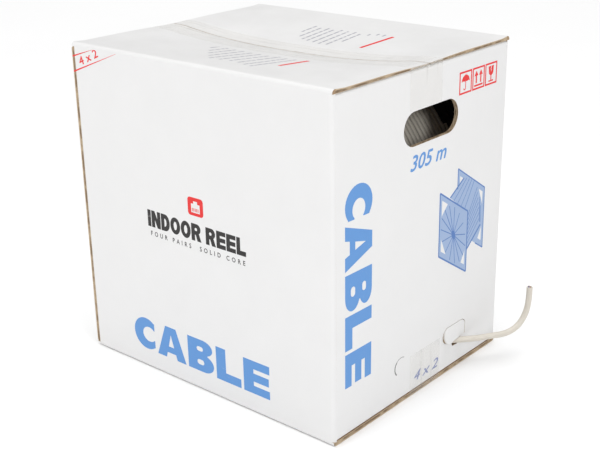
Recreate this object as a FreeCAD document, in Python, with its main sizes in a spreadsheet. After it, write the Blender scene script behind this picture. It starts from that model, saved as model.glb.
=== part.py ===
"""Carton with a built-in cable reel that pays out through a slot in its right end panel.

A regular slotted carton of white-lined corrugated board holds a square-ended reel. The drum turns on two
plugs held in the square end plates, and the cable leaves through a torn perforation under a push-out tab.

Frame: millimetres, +Z up, origin on the floor at the middle of the carton. -Y is the front panel, and
+X is the right end panel with the dispensing slot.
"""
import FreeCAD, Part
import Sketcher

import math
import os

DOC = FreeCAD.newDocument("cable_spool_box")
SHEET = DOC.addObject("Spreadsheet::Sheet", "Sizes")
X_AXIS = FreeCAD.Vector(1, 0, 0)
Y_AXIS = FreeCAD.Vector(0, 1, 0)
Z_AXIS = FreeCAD.Vector(0, 0, 1)
ENDS = {"front": -1, "rear": 1}
SIDES = {"left": -1, "right": 1}

# ---------------------------------------------------------------- driving dimensions
SIZES = {
    # carton
    "box_length": 323,
    "box_width": 271,
    "box_height": 325,
    "board": 4,
    "seam_gap": 1,
    "minor_trim": 1,
    "glue_tab_width": 38,
    "glue_tab_trim": 10,
    # hand holes
    "hand_length": 86,
    "hand_height": 32,
    "hand_y": 5.5,
    "hand_z": 267.5,
    # packing tape, pressed flush into the liner
    "tape_gauge": 0.1,
    "tape_width": 50,
    "top_tape_y": -4,
    "top_tail": 37,
    "bottom_tape_y": 5,
    "bottom_tail": 44,
    # push-out tab and the torn notch under it
    "tab_length": 40,
    "tab_height": 16.5,
    "tab_z": 40.75,
    "tab_hinge_y": 76,
    "tab_gap": 0.5,
    "tab_lift": 7,
    "notch_y": 51.5,
    "notch_width": 16,
    "notch_z": 25,
    # reel
    "plate_side": 302,
    "plate_thick": 5,
    "plate_y": 104,
    "plate_bore": 46.3,
    "window_inset": 16,
    "window_leg": 58,
    "rib_count": 12,
    "rib_width": 3,
    "rib_height": 1.5,
    "rib_start": 66,
    "rib_end": 140,
    "core_outer": 50,
    "core_inner": 46,
    "core_half": 102,
    "flange_radius": 148,
    "flange_thick": 4,
    "winding_radius": 145,
    "plug_radius": 45.95,
    "plug_wall": 3.95,
    "plug_reach": 22,
    "plug_head": 62,
    "plug_head_thick": 3,
    "plug_cup": 50,
    "plug_cup_depth": 18.5,
    # cable
    "cable_diameter": 6.2,
}
for row, (alias, value) in enumerate(SIZES.items(), start=1):
    SHEET.set(f"A{row}", alias)
    SHEET.set(f"B{row}", str(value))
    SHEET.setAlias(f"B{row}", alias)
DOC.recompute()

# Places that several pieces share, as expressions on the sheet.
HALF_LENGTH = "Sizes.box_length / 2"
HALF_WIDTH = "Sizes.box_width / 2"
PANEL_BOTTOM = "Sizes.board"
PANEL_HEIGHT = "(Sizes.box_height - 2 * Sizes.board)"
AXLE_Z = "(2 * Sizes.board + Sizes.plate_side / 2)"

NODES = []


# ---------------------------------------------------------------- helpers
def bind(obj, **expressions):
    """Binds properties of obj to expressions. Double underscores stand for dots."""
    for name, expression in expressions.items():
        obj.setExpression(name.replace("__", "."), expression)
    return obj


def place(obj, x="0", y="0", z="0"):
    """Binds an object's position to three expressions."""
    return bind(obj, Placement__Base__x=x, Placement__Base__y=y, Placement__Base__z=z)


def box(name, size, corner):
    """A box from its three sizes and its lowest corner, all expressions."""
    made = DOC.addObject("Part::Box", name)
    bind(made, Length=size[0], Width=size[1], Height=size[2])
    return place(made, *corner)


def cylinder(name, radius, height, start, axis=Z_AXIS):
    """A cylinder that begins at start and runs along axis."""
    made = DOC.addObject("Part::Cylinder", name)
    made.Placement.Rotation = FreeCAD.Rotation(Z_AXIS, axis)
    bind(made, Radius=radius, Height=height)
    return place(made, *start)


def fuse(name, shapes):
    made = DOC.addObject("Part::MultiFuse", name)
    made.Shapes = shapes
    made.Refine = True
    return made


def cut(name, base, tool):
    made = DOC.addObject("Part::Cut", name)
    made.Base = base
    made.Tool = tool
    made.Refine = True
    return made


def node(obj, label):
    """Names a finished piece, which is written under that name."""
    obj.Label = label
    NODES.append(obj)
    return obj


def origin_plane(body, role):
    return next(o for o in body.Origin.OriginFeatures if o.Role == role)


def sketch_in(body, name, offset=None):
    """A sketch on the body's XY plane, raised by an expression if one is given."""
    made = body.newObject("Sketcher::SketchObject", name)
    made.AttachmentSupport = [(origin_plane(body, "XY_Plane"), "")]
    made.MapMode = "FlatFace"
    if offset is not None:
        made.setExpression("AttachmentOffset.Base.z", offset)
    return made


def circle_in(sketch, radius):
    """A circle at the sketch's origin whose radius follows an expression."""
    index = sketch.addGeometry(Part.Circle(FreeCAD.Vector(0, 0, 0), Z_AXIS, 10), False)
    sketch.addConstraint(Sketcher.Constraint("Coincident", index, 3, -1, 1))
    at = sketch.addConstraint(Sketcher.Constraint("Radius", index, 10))
    sketch.setExpression(f"Constraints[{at}]", radius)


def polygon_in(sketch, corners):
    """A closed outline. Each corner is a pair of (rough number, expression) for its x and y."""
    points = [FreeCAD.Vector(x[0], y[0], 0) for x, y in corners]
    first = sketch.GeometryCount
    for i, point in enumerate(points):
        sketch.addGeometry(Part.LineSegment(point, points[(i + 1) % len(points)]), False)
    for i in range(len(points)):
        after = first + (i + 1) % len(points)
        sketch.addConstraint(Sketcher.Constraint("Coincident", first + i, 2, after, 1))
    for i, (x, y) in enumerate(corners):
        for kind, (rough, expression) in (("DistanceX", x), ("DistanceY", y)):
            at = sketch.addConstraint(Sketcher.Constraint(kind, -1, 1, first + i, 1, rough))
            sketch.setExpression(f"Constraints[{at}]", expression)


def pad(body, sketch, length):
    made = body.newObject("PartDesign::Pad", sketch.Name + "Pad")
    made.Profile = sketch
    made.setExpression("Length", length)
    return made


def polar(body, feature, count):
    """Repeats a feature about the body's Z axis."""
    made = body.newObject("PartDesign::PolarPattern", feature.Name + "Ring")
    made.Originals = [feature]
    made.Axis = (origin_plane(body, "Z_Axis"), [""])
    made.Angle = 360
    made.setExpression("Occurrences", count)
    body.Tip = made
    return made


# ---------------------------------------------------------------- packing tape shapes
def tape_strip(name, y_middle, z, sign=0):
    """A strip along the carton. With a sign, only the half on that side of the seam."""
    low = f"{y_middle} - Sizes.tape_width / 2"
    width = "Sizes.tape_width"
    if sign < 0:
        width = f"Sizes.tape_width / 2 - ({y_middle}) - Sizes.seam_gap / 2"
    if sign > 0:
        low = "Sizes.seam_gap / 2"
        width = f"Sizes.tape_width / 2 + ({y_middle}) - Sizes.seam_gap / 2"
    return box(name, ("Sizes.box_length", width, "Sizes.tape_gauge"), (f"-{HALF_LENGTH}", low, z))


def tape_tail(name, side, y_middle, z, height):
    """A length of tape on an end panel."""
    x = f"-{HALF_LENGTH}" if side < 0 else f"{HALF_LENGTH} - Sizes.tape_gauge"
    size = ("Sizes.tape_gauge", "Sizes.tape_width", height)
    return box(name, size, (x, f"{y_middle} - Sizes.tape_width / 2", z))


TOP_TAIL_Z = "(Sizes.box_height - Sizes.board - Sizes.top_tail)"
for side, sign in SIDES.items():
    tail = tape_tail(f"TopTail{sign + 1}", sign, "Sizes.top_tape_y", TOP_TAIL_Z, "Sizes.top_tail")
    node(tail, f"tape_top_tail_{side}")
TOP_TAPE_Z = "Sizes.box_height - Sizes.tape_gauge"
for end, sign in ENDS.items():
    strip = tape_strip(f"TopStrip{sign + 1}", "Sizes.top_tape_y", TOP_TAPE_Z, sign)
    node(strip, f"tape_top_{end}")
BOTTOM_PARTS = [tape_strip("BottomStrip", "Sizes.bottom_tape_y", "0")]
for sign in SIDES.values():
    BOTTOM_PARTS.append(
        tape_tail(f"BottomTail{sign + 1}", sign, "Sizes.bottom_tape_y", "0", "Sizes.bottom_tail")
    )
BOTTOM_TAPE = node(fuse("BottomTape", BOTTOM_PARTS), "tape_bottom")


# ---------------------------------------------------------------- carton panels
def long_panel(name, sign, x_low, length):
    """The front or rear panel."""
    y = f"-{HALF_WIDTH}" if sign < 0 else f"{HALF_WIDTH} - Sizes.board"
    return box(name, (length, "Sizes.board", PANEL_HEIGHT), (x_low, y, PANEL_BOTTOM))


node(
    long_panel("FrontPanel", -1, f"-{HALF_LENGTH} + Sizes.board", "Sizes.box_length - Sizes.board"),
    "front_panel",
)
node(long_panel("RearPanel", 1, f"-{HALF_LENGTH}", "Sizes.box_length"), "rear_panel")


def obround(name, side, length, height, y_middle, z_middle):
    """A cutter with round ends that runs right through an end panel."""
    depth = "3 * Sizes.board"
    x = f"{side} * {HALF_LENGTH} - 1.5 * Sizes.board"
    straight = f"({length} - {height})"
    low_y = f"{y_middle} - {straight} / 2"
    body = box(name + "Mid", (depth, straight, height), (x, low_y, f"{z_middle} - {height} / 2"))
    caps = [
        cylinder(f"{name}Cap{i}", f"{height} / 2", depth, (x, y, z_middle), X_AXIS)
        for i, y in enumerate((low_y, f"{y_middle} + {straight} / 2"))
    ]
    return fuse(name, [body, *caps])


def end_panel(name, side, low_y, width, extra_cutters):
    """An end panel with its hand hole and the rebates that the tape lies in."""
    x = f"-{HALF_LENGTH}" if side < 0 else f"{HALF_LENGTH} - Sizes.board"
    board = box(name + "Board", ("Sizes.board", width, PANEL_HEIGHT), (x, low_y, PANEL_BOTTOM))
    hole = obround(
        name + "Hand", side, "Sizes.hand_length", "Sizes.hand_height", "Sizes.hand_y", "Sizes.hand_z"
    )
    tails = [
        tape_tail(name + "TopRebate", side, "Sizes.top_tape_y", TOP_TAIL_Z, "Sizes.top_tail"),
        tape_tail(name + "LowRebate", side, "Sizes.bottom_tape_y", "0", "Sizes.bottom_tail"),
    ]
    return cut(name, board, fuse(name + "Cutters", [hole, *tails, *extra_cutters]))


# The push-out tab is hinged along its rear edge and round at its free end. Its hole is larger by a gap.
TAB_CAP = "Sizes.tab_height / 2"


def tab_shape(name, gap, depth, x_low):
    """The tab's outline with its hinge line on the local Z axis, from x_low over depth."""
    radius = f"({TAB_CAP} + {gap})"
    run = f"(Sizes.tab_length - {TAB_CAP})"
    flat = box(name + "Flat", (depth, run, f"2 * {radius}"), (x_low, f"-{run}", f"-{radius}"))
    cap = cylinder(name + "Cap", radius, depth, (x_low, f"-{run}", "0"), X_AXIS)
    return fuse(name, [flat, cap])


tab = tab_shape("ExitTab", "0", "Sizes.board", "-Sizes.board")
place(tab, HALF_LENGTH, "Sizes.tab_hinge_y", "Sizes.tab_z")
tab.Placement.Rotation = FreeCAD.Rotation(Z_AXIS, 1)
tab.setExpression("Placement.Rotation.Angle", "Sizes.tab_lift")
node(tab, "exit_tab")

tab_hole = tab_shape("TabHole", "Sizes.tab_gap", "3 * Sizes.board", "-1.5 * Sizes.board")
place(tab_hole, HALF_LENGTH, "Sizes.tab_hinge_y", "Sizes.tab_z")
notch = box(
    "Notch",
    ("3 * Sizes.board", "Sizes.notch_width", "Sizes.tab_z - Sizes.notch_z"),
    (f"{HALF_LENGTH} - 1.5 * Sizes.board", "Sizes.notch_y", "Sizes.notch_z"),
)

INNER_WIDTH = "(Sizes.box_width - 2 * Sizes.board)"
INNER_LOW_Y = f"-{HALF_WIDTH} + Sizes.board"
node(end_panel("RightPanel", 1, INNER_LOW_Y, INNER_WIDTH, [tab_hole, notch]), "right_end_panel")
node(
    end_panel("LeftPanel", -1, f"-{HALF_WIDTH}", "Sizes.box_width - Sizes.board", []),
    "left_end_panel",
)

# The glue tab folds off the front panel and is glued inside the left end panel.
node(
    box(
        "GlueTab",
        ("Sizes.board", "Sizes.glue_tab_width", f"{PANEL_HEIGHT} - 2 * Sizes.glue_tab_trim"),
        (f"-{HALF_LENGTH} + Sizes.board", INNER_LOW_Y, f"{PANEL_BOTTOM} + Sizes.glue_tab_trim"),
    ),
    "glue_tab",
)


# ---------------------------------------------------------------- carton flaps
def major_flap(name, sign, z):
    """A flap off the front or rear panel, which reaches the seam."""
    depth = "(Sizes.box_width / 2 - Sizes.seam_gap / 2)"
    y = f"-{HALF_WIDTH}" if sign < 0 else "Sizes.seam_gap / 2"
    return box(name, ("Sizes.box_length", depth, "Sizes.board"), (f"-{HALF_LENGTH}", y, z))


def minor_flap(name, side, z):
    """A flap off an end panel, which lies inside the major flaps."""
    depth = "(Sizes.box_width / 2 - Sizes.board)"
    x = f"-{HALF_LENGTH} + Sizes.board" if side < 0 else f"{HALF_LENGTH} - Sizes.board - {depth}"
    width = f"{INNER_WIDTH} - 2 * Sizes.minor_trim"
    return box(name, (depth, width, "Sizes.board"), (x, f"{INNER_LOW_Y} + Sizes.minor_trim", z))


TOP_Z = "Sizes.box_height - Sizes.board"
for end, sign in ENDS.items():
    flap = major_flap(f"TopMajorBoard{sign + 1}", sign, TOP_Z)
    rebate = tape_strip(f"TopRebate{sign + 1}", "Sizes.top_tape_y", TOP_TAPE_Z, sign)
    node(cut(f"TopMajor{sign + 1}", flap, rebate), f"top_flap_{end}")
    flap = major_flap(f"LowMajorBoard{sign + 1}", sign, "0")
    rebate = tape_strip(f"LowRebate{sign + 1}", "Sizes.bottom_tape_y", "0")
    ends = [
        tape_tail(f"LowEnd{sign + 1}{s + 1}", s, "Sizes.bottom_tape_y", "0", "Sizes.board")
        for s in SIDES.values()
    ]
    cutters = fuse(f"LowCutters{sign + 1}", [rebate, *ends])
    node(cut(f"LowMajor{sign + 1}", flap, cutters), f"bottom_flap_{end}")
for side, sign in SIDES.items():
    node(minor_flap(f"TopMinor{sign + 1}", sign, f"{TOP_Z} - Sizes.board"), f"top_flap_{side}")
    node(minor_flap(f"LowMinor{sign + 1}", sign, "Sizes.board"), f"bottom_flap_{side}")


# ---------------------------------------------------------------- reel frame
def turn_to_end(obj, sign):
    """Stands an object whose local Z points outwards at the front or rear end of the axle."""
    outward = FreeCAD.Rotation(X_AXIS, 90)
    if sign > 0:
        outward = FreeCAD.Rotation(Z_AXIS, 180).multiply(outward)
    obj.Placement.Rotation = outward
    place(obj, "0", f"{sign} * Sizes.plate_y", AXLE_Z)


def end_plate(name, sign):
    """A square moulded plate with a triangular window in each corner and shallow ribs outside."""
    body = DOC.addObject("PartDesign::Body", name)
    half = "Sizes.plate_side / 2"
    outline = sketch_in(body, name + "Square")
    polygon_in(
        outline,
        [
            ((-150, f"-{half}"), (-150, f"-{half}")),
            ((150, half), (-150, f"-{half}")),
            ((150, half), (150, half)),
            ((-150, f"-{half}"), (150, half)),
        ],
    )
    circle_in(outline, "Sizes.plate_bore")
    pad(body, outline, "Sizes.plate_thick")

    outer = f"{half} - Sizes.window_inset"
    inner = f"{outer} - Sizes.window_leg"
    window = sketch_in(body, name + "Window", "Sizes.plate_thick")
    polygon_in(
        window,
        [
            ((135, outer), (135, outer)),
            ((77, inner), (135, outer)),
            ((135, outer), (77, inner)),
        ],
    )
    pocket = body.newObject("PartDesign::Pocket", name + "WindowPocket")
    pocket.Profile = window
    pocket.Type = "ThroughAll"
    DOC.recompute()
    polar(body, pocket, "4")

    rib = sketch_in(body, name + "Rib", "Sizes.plate_thick")
    edge = "Sizes.rib_width / 2"
    polygon_in(
        rib,
        [
            ((66, "Sizes.rib_start"), (-1.5, f"-{edge}")),
            ((140, "Sizes.rib_end"), (-1.5, f"-{edge}")),
            ((140, "Sizes.rib_end"), (1.5, edge)),
            ((66, "Sizes.rib_start"), (1.5, edge)),
        ],
    )
    polar(body, pad(body, rib, "Sizes.rib_height"), "Sizes.rib_count")

    ring = sketch_in(body, name + "Ring", "Sizes.plate_thick")
    circle_in(ring, "Sizes.rib_end - Sizes.rib_width")
    circle_in(ring, "Sizes.rib_end")
    pad(body, ring, "Sizes.rib_height")
    turn_to_end(body, sign)
    return body


def hub_plug(name, sign):
    """A cupped plug. Its stub carries the core, its head bears on the plate outside."""
    reach = "Sizes.plug_reach"
    head_z = "Sizes.plate_thick"
    cup_z = "(Sizes.plate_thick + Sizes.plug_head_thick)"
    stub = cylinder(name + "Stub", "Sizes.plug_radius", f"{reach} + {cup_z}", ("0", "0", f"-{reach}"))
    head = cylinder(name + "Head", "Sizes.plug_head", "Sizes.plug_head_thick", ("0", "0", head_z))
    cup = cylinder(name + "Cup", "Sizes.plug_cup", "Sizes.plug_cup_depth", ("0", "0", cup_z))
    bore = cylinder(
        name + "Bore",
        "Sizes.plug_radius - Sizes.plug_wall",
        f"{reach} + {cup_z} + Sizes.plug_cup_depth - Sizes.plug_head_thick",
        ("0", "0", f"-{reach}"),
    )
    plug = cut(name, fuse(name + "Solid", [stub, head, cup]), bore)
    turn_to_end(plug, sign)
    return plug


for end, sign in ENDS.items():
    node(end_plate(f"EndPlate{sign + 1}", sign), f"end_plate_{end}")
    node(hub_plug(f"HubPlug{sign + 1}", sign), f"hub_plug_{end}")


# ---------------------------------------------------------------- drum
def ring_along_y(name, outer, inner, low_y, length):
    """A ring on the reel's axis."""
    start = ("0", low_y, AXLE_Z)
    solid = cylinder(name + "Outer", outer, length, start, Y_AXIS)
    hole = cylinder(name + "Inner", inner, length, start, Y_AXIS)
    return cut(name, solid, hole)


node(
    ring_along_y(
        "Core", "Sizes.core_outer", "Sizes.core_inner", "-Sizes.core_half", "2 * Sizes.core_half"
    ),
    "drum_core",
)
for end, sign in ENDS.items():
    low = "-Sizes.core_half" if sign < 0 else "Sizes.core_half - Sizes.flange_thick"
    flange = ring_along_y(
        f"Flange{sign + 1}", "Sizes.flange_radius", "Sizes.core_outer", low, "Sizes.flange_thick"
    )
    node(flange, f"drum_flange_{end}")
node(
    ring_along_y(
        "Winding",
        "Sizes.winding_radius",
        "Sizes.core_outer",
        "-Sizes.core_half + Sizes.flange_thick",
        "2 * (Sizes.core_half - Sizes.flange_thick)",
    ),
    "cable_winding",
)


# ---------------------------------------------------------------- cable
# The lead runs from the underside of the winding to the notch; the tail goes on from there, outside.
EXIT = (161.5, 62.0, 29.0)
LEAD_ROUTE = [
    (19.0, 20.5, 11.8),
    (60.0, 23.2, 16.5),
    (104.3, 28.5, 22.0),
    (131.1, 36.7, 26.0),
    (149.5, 48.0, 29.0),
    EXIT,
]
TAIL_ROUTE = [
    EXIT,
    (173.5, 76.0, 29.0),
    (184.5, 89.0, 26.5),
    (193.5, 102.0, 26.5),
    (199.0, 115.0, 32.5),
    (201.5, 125.5, 43.5),
    (202.5, 131.0, 58.0),
    (202.3, 130.8, 74.0),
]
ARC_SHARE = 0.45


def cable(name, label, route):
    """A tube along straight runs joined by tangent arcs, each as large as its two runs allow."""
    points = [FreeCAD.Vector(*p) for p in route]
    runs = [b.sub(a) for a, b in zip(points, points[1:])]
    edges = []
    start = points[0]
    radii = []
    for corner, before, after in zip(points[1:], runs, runs[1:]):
        turn = before.getAngle(after)
        reach = ARC_SHARE * min(before.Length, after.Length)
        radius = reach / math.tan(turn / 2)
        into = FreeCAD.Vector(before).normalize()
        away = FreeCAD.Vector(after).normalize()
        arc_start = corner.sub(into * reach)
        arc_end = corner.add(away * reach)
        to_middle = away.sub(into).normalize()
        centre = corner.add(to_middle * (radius / math.cos(turn / 2)))
        middle = centre.sub(to_middle * radius)
        edges.append(Part.LineSegment(start, arc_start).toShape())
        edges.append(Part.Arc(arc_start, middle, arc_end).toShape())
        start = arc_end
        radii.append(round(radius, 1))
    edges.append(Part.LineSegment(start, points[-1]).toShape())
    path = Part.Wire(edges)
    section = Part.Circle(points[0], runs[0], SHEET.cable_diameter / 2).toShape()
    made = DOC.addObject("Part::Feature", name)
    made.Shape = path.makePipeShell([Part.Wire([section])], True, True)
    made.Placement = FreeCAD.Placement()
    expected = math.pi * (SHEET.cable_diameter / 2) ** 2 * path.Length
    print(
        f"{label}: length {path.Length:.1f} mm, radii {radii} mm, "
        f"volume over section times length {made.Shape.Volume / expected:.4f}"
    )
    return node(made, label)


cable("CableLead", "cable_lead", LEAD_ROUTE)
cable("CableTail", "cable_tail", TAIL_ROUTE)

# ---------------------------------------------------------------- checks and export
DOC.recompute()
for obj in DOC.Objects:
    bad = [state for state in obj.State if state in ("Invalid", "Error")]
    if bad:
        raise RuntimeError(f"{obj.Name} is {bad}")
os.makedirs("parts", exist_ok=True)
for obj in NODES:
    shape = obj.Shape
    if shape.isNull() or not shape.isValid() or not shape.Solids:
        raise RuntimeError(f"{obj.Label} has no valid solid")
    shape.exportStep(f"parts/{obj.Label}.step")
    size = shape.BoundBox
    print(
        f"{obj.Label}: {len(shape.Solids)} solid, {shape.Volume / 1000:.2f} cm3, "
        f"x {size.XMin:.1f} {size.XMax:.1f}, y {size.YMin:.1f} {size.YMax:.1f}, "
        f"z {size.ZMin:.1f} {size.ZMax:.1f}"
    )
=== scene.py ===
"""Cable spool box: a white-lined corrugated carton, a cable reel that turns inside it, and a tail of cable.

Lengths are in millimetres until a mesh is made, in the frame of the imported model: +X out of the end panel
with the exit tab, -Y out of the front panel, +Z up.
"""

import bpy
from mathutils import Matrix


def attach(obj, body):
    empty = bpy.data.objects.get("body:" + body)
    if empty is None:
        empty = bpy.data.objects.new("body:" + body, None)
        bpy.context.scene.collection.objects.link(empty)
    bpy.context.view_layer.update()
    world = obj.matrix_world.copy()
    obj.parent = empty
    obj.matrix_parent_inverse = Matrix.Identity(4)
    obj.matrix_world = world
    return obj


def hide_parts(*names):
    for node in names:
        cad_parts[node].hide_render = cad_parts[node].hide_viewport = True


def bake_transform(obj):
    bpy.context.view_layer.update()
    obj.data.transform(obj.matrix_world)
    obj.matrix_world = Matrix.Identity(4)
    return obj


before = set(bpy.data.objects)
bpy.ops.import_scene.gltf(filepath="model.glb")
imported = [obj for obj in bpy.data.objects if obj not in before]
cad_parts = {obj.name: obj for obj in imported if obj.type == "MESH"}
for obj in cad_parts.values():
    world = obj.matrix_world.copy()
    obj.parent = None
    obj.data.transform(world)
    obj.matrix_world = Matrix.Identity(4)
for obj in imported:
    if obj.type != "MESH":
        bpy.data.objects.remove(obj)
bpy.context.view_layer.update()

import logging
import math
from dataclasses import dataclass
from enum import Enum
from typing import Callable, Sequence

import bmesh
import bpy
import numpy as np
from mathutils import Matrix, Vector
from mathutils.geometry import delaunay_2d_cdt, interpolate_bezier

MM = 0.001
log = logging.getLogger("cable_spool_box")

Point2 = tuple[float, float]
Point3 = tuple[float, float, float]
Loop = list[Point2]
Figures = list[list[Loop]]
OnSheet = Callable[[float, float], bool]
Place = Callable[[np.ndarray, np.ndarray, np.ndarray], np.ndarray]
Socket = bpy.types.NodeSocket
Material = bpy.types.Material
Piece = bpy.types.Object
Lamp = tuple[Point3, Point3, float, float]


class Body(Enum):
    """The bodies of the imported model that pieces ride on."""

    CARTON = "carton"
    DRUM = "drum"
    FRONT_FLAP = "front_flap"
    REAR_FLAP = "rear_flap"
    TAB = "slot_tab"


class Slot(Enum):
    """The record's material slots."""

    BOARD = "lined_board"
    TAPE = "clear_tape"
    PLATE = "moulded_plate"
    CORE = "core_board"
    JACKET = "cable_jacket"


class Ink(Enum):
    """The print colours, and the dark colour painted as the shade inside a die cut, as linear base colours.
    """

    BLUE = (0.105, 0.290, 0.640)
    LINE_BLUE = (0.080, 0.190, 0.480)
    PALE_BLUE = (0.320, 0.430, 0.640)
    HAZE_BLUE = (0.210, 0.255, 0.480)
    RED = (0.760, 0.018, 0.018)
    BLACK = (0.014, 0.012, 0.012)
    GREY = (0.400, 0.400, 0.440)
    SHADE = (0.130, 0.125, 0.120)


# --------------------------------------------------------------------------------------------------
# Shader tools and the node groups that several finishes share
# --------------------------------------------------------------------------------------------------


class NodeBench:
    """Adds and links nodes in one shader tree."""

    def __init__(self, tree: bpy.types.NodeTree) -> None:
        """Args: tree: the material's or group's node tree."""
        self.tree = tree

    def add(self, kind: str, **settings: object) -> bpy.types.Node:
        """Adds a node.

        Args:
            kind: the node's type name after "ShaderNode".
            settings: node properties by name; a name that starts with "in_" sets the socket of that name.

        Returns:
            The new node.
        """
        node = self.tree.nodes.new("ShaderNode" + kind)
        for name, value in settings.items():
            if name.startswith("in_"):
                self.feed(node, name[3:].replace("_", " "), value)
            else:
                setattr(node, name, value)
        return node

    def feed(self, node: bpy.types.Node, socket: str | int, value: object) -> None:
        """Links an output to a socket, or sets the socket's own value.

        Args:
            node: the node that has the input.
            socket: the input's name or number.
            value: an output socket, a number, or a colour.
        """
        target = node.inputs[int(socket) if str(socket).isdigit() else socket]
        if isinstance(value, Socket):
            self.tree.links.new(value, target)
        elif isinstance(value, tuple) and len(value) == 3 and target.type == "RGBA":
            target.default_value = (*value, 1.0)
        else:
            target.default_value = value

    def maths(self, operation: str, first: object, second: object = 0.0, clamp: bool = False) -> Socket:
        """Returns the result of a math node on two values.

        Args:
            operation: the node's operation.
            first: the first value.
            second: the second value.
            clamp: keeps the result from 0 to 1.

        Returns:
            The result's socket.
        """
        node = self.add("Math", operation=operation, use_clamp=clamp)
        self.feed(node, 0, first)
        self.feed(node, 1, second)
        return node.outputs[0]

    def span(
        self, value: object, low: float, high: float, to_low: float = 0.0, to_high: float = 1.0
    ) -> Socket:
        """Returns value mapped from low..high to to_low..to_high, smoothly and clamped.

        Args:
            value: the value.
            low: where its range begins.
            high: where its range ends.
            to_low: what low becomes.
            to_high: what high becomes.

        Returns:
            The result's socket.
        """
        node = self.add("MapRange", interpolation_type="SMOOTHSTEP")
        for socket, number in enumerate((value, low, high, to_low, to_high)):
            self.feed(node, socket, number)
        return node.outputs[0]

    def blend(self, share: object, first: object, second: object, mode: str = "MIX") -> Socket:
        """Returns two colours mixed by a share from 0 to 1.

        Args:
            share: the second colour's share.
            first: the first colour.
            second: the second colour.
            mode: the blend mode.

        Returns:
            The mixed colour's socket.
        """
        node = self.add("Mix", data_type="RGBA", blend_type=mode, clamp_factor=True)
        self.feed(node, 0, share)
        self.feed(node, 6, first)
        self.feed(node, 7, second)
        return node.outputs[2]

    def noise(
        self, size_mm: float, stretch: Point3 = (1.0, 1.0, 1.0), detail: float = 3.0, rough: float = 0.55
    ) -> Socket:
        """Returns noise from 0 to 1 in the piece's own coordinates.

        Args:
            size_mm: the size of its largest patches.
            stretch: how much finer it is along each axis.
            detail: the number of finer layers.
            rough: the strength of each finer layer.
        """
        place = self.add("TexCoord").outputs["Object"]
        spread = self.add("Mapping")
        self.feed(spread, "Vector", place)
        spread.inputs["Scale"].default_value = tuple(1000.0 / size_mm * s for s in stretch)
        node = self.add(
            "TexNoise", in_Vector=spread.outputs[0], in_Scale=1.0, in_Detail=detail, in_Roughness=rough
        )
        return node.outputs[0]

    def attribute(self, name: str) -> Socket:
        """Returns a number stored on the mesh."""
        return self.add("Attribute", attribute_type="GEOMETRY", attribute_name=name).outputs["Fac"]


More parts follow.
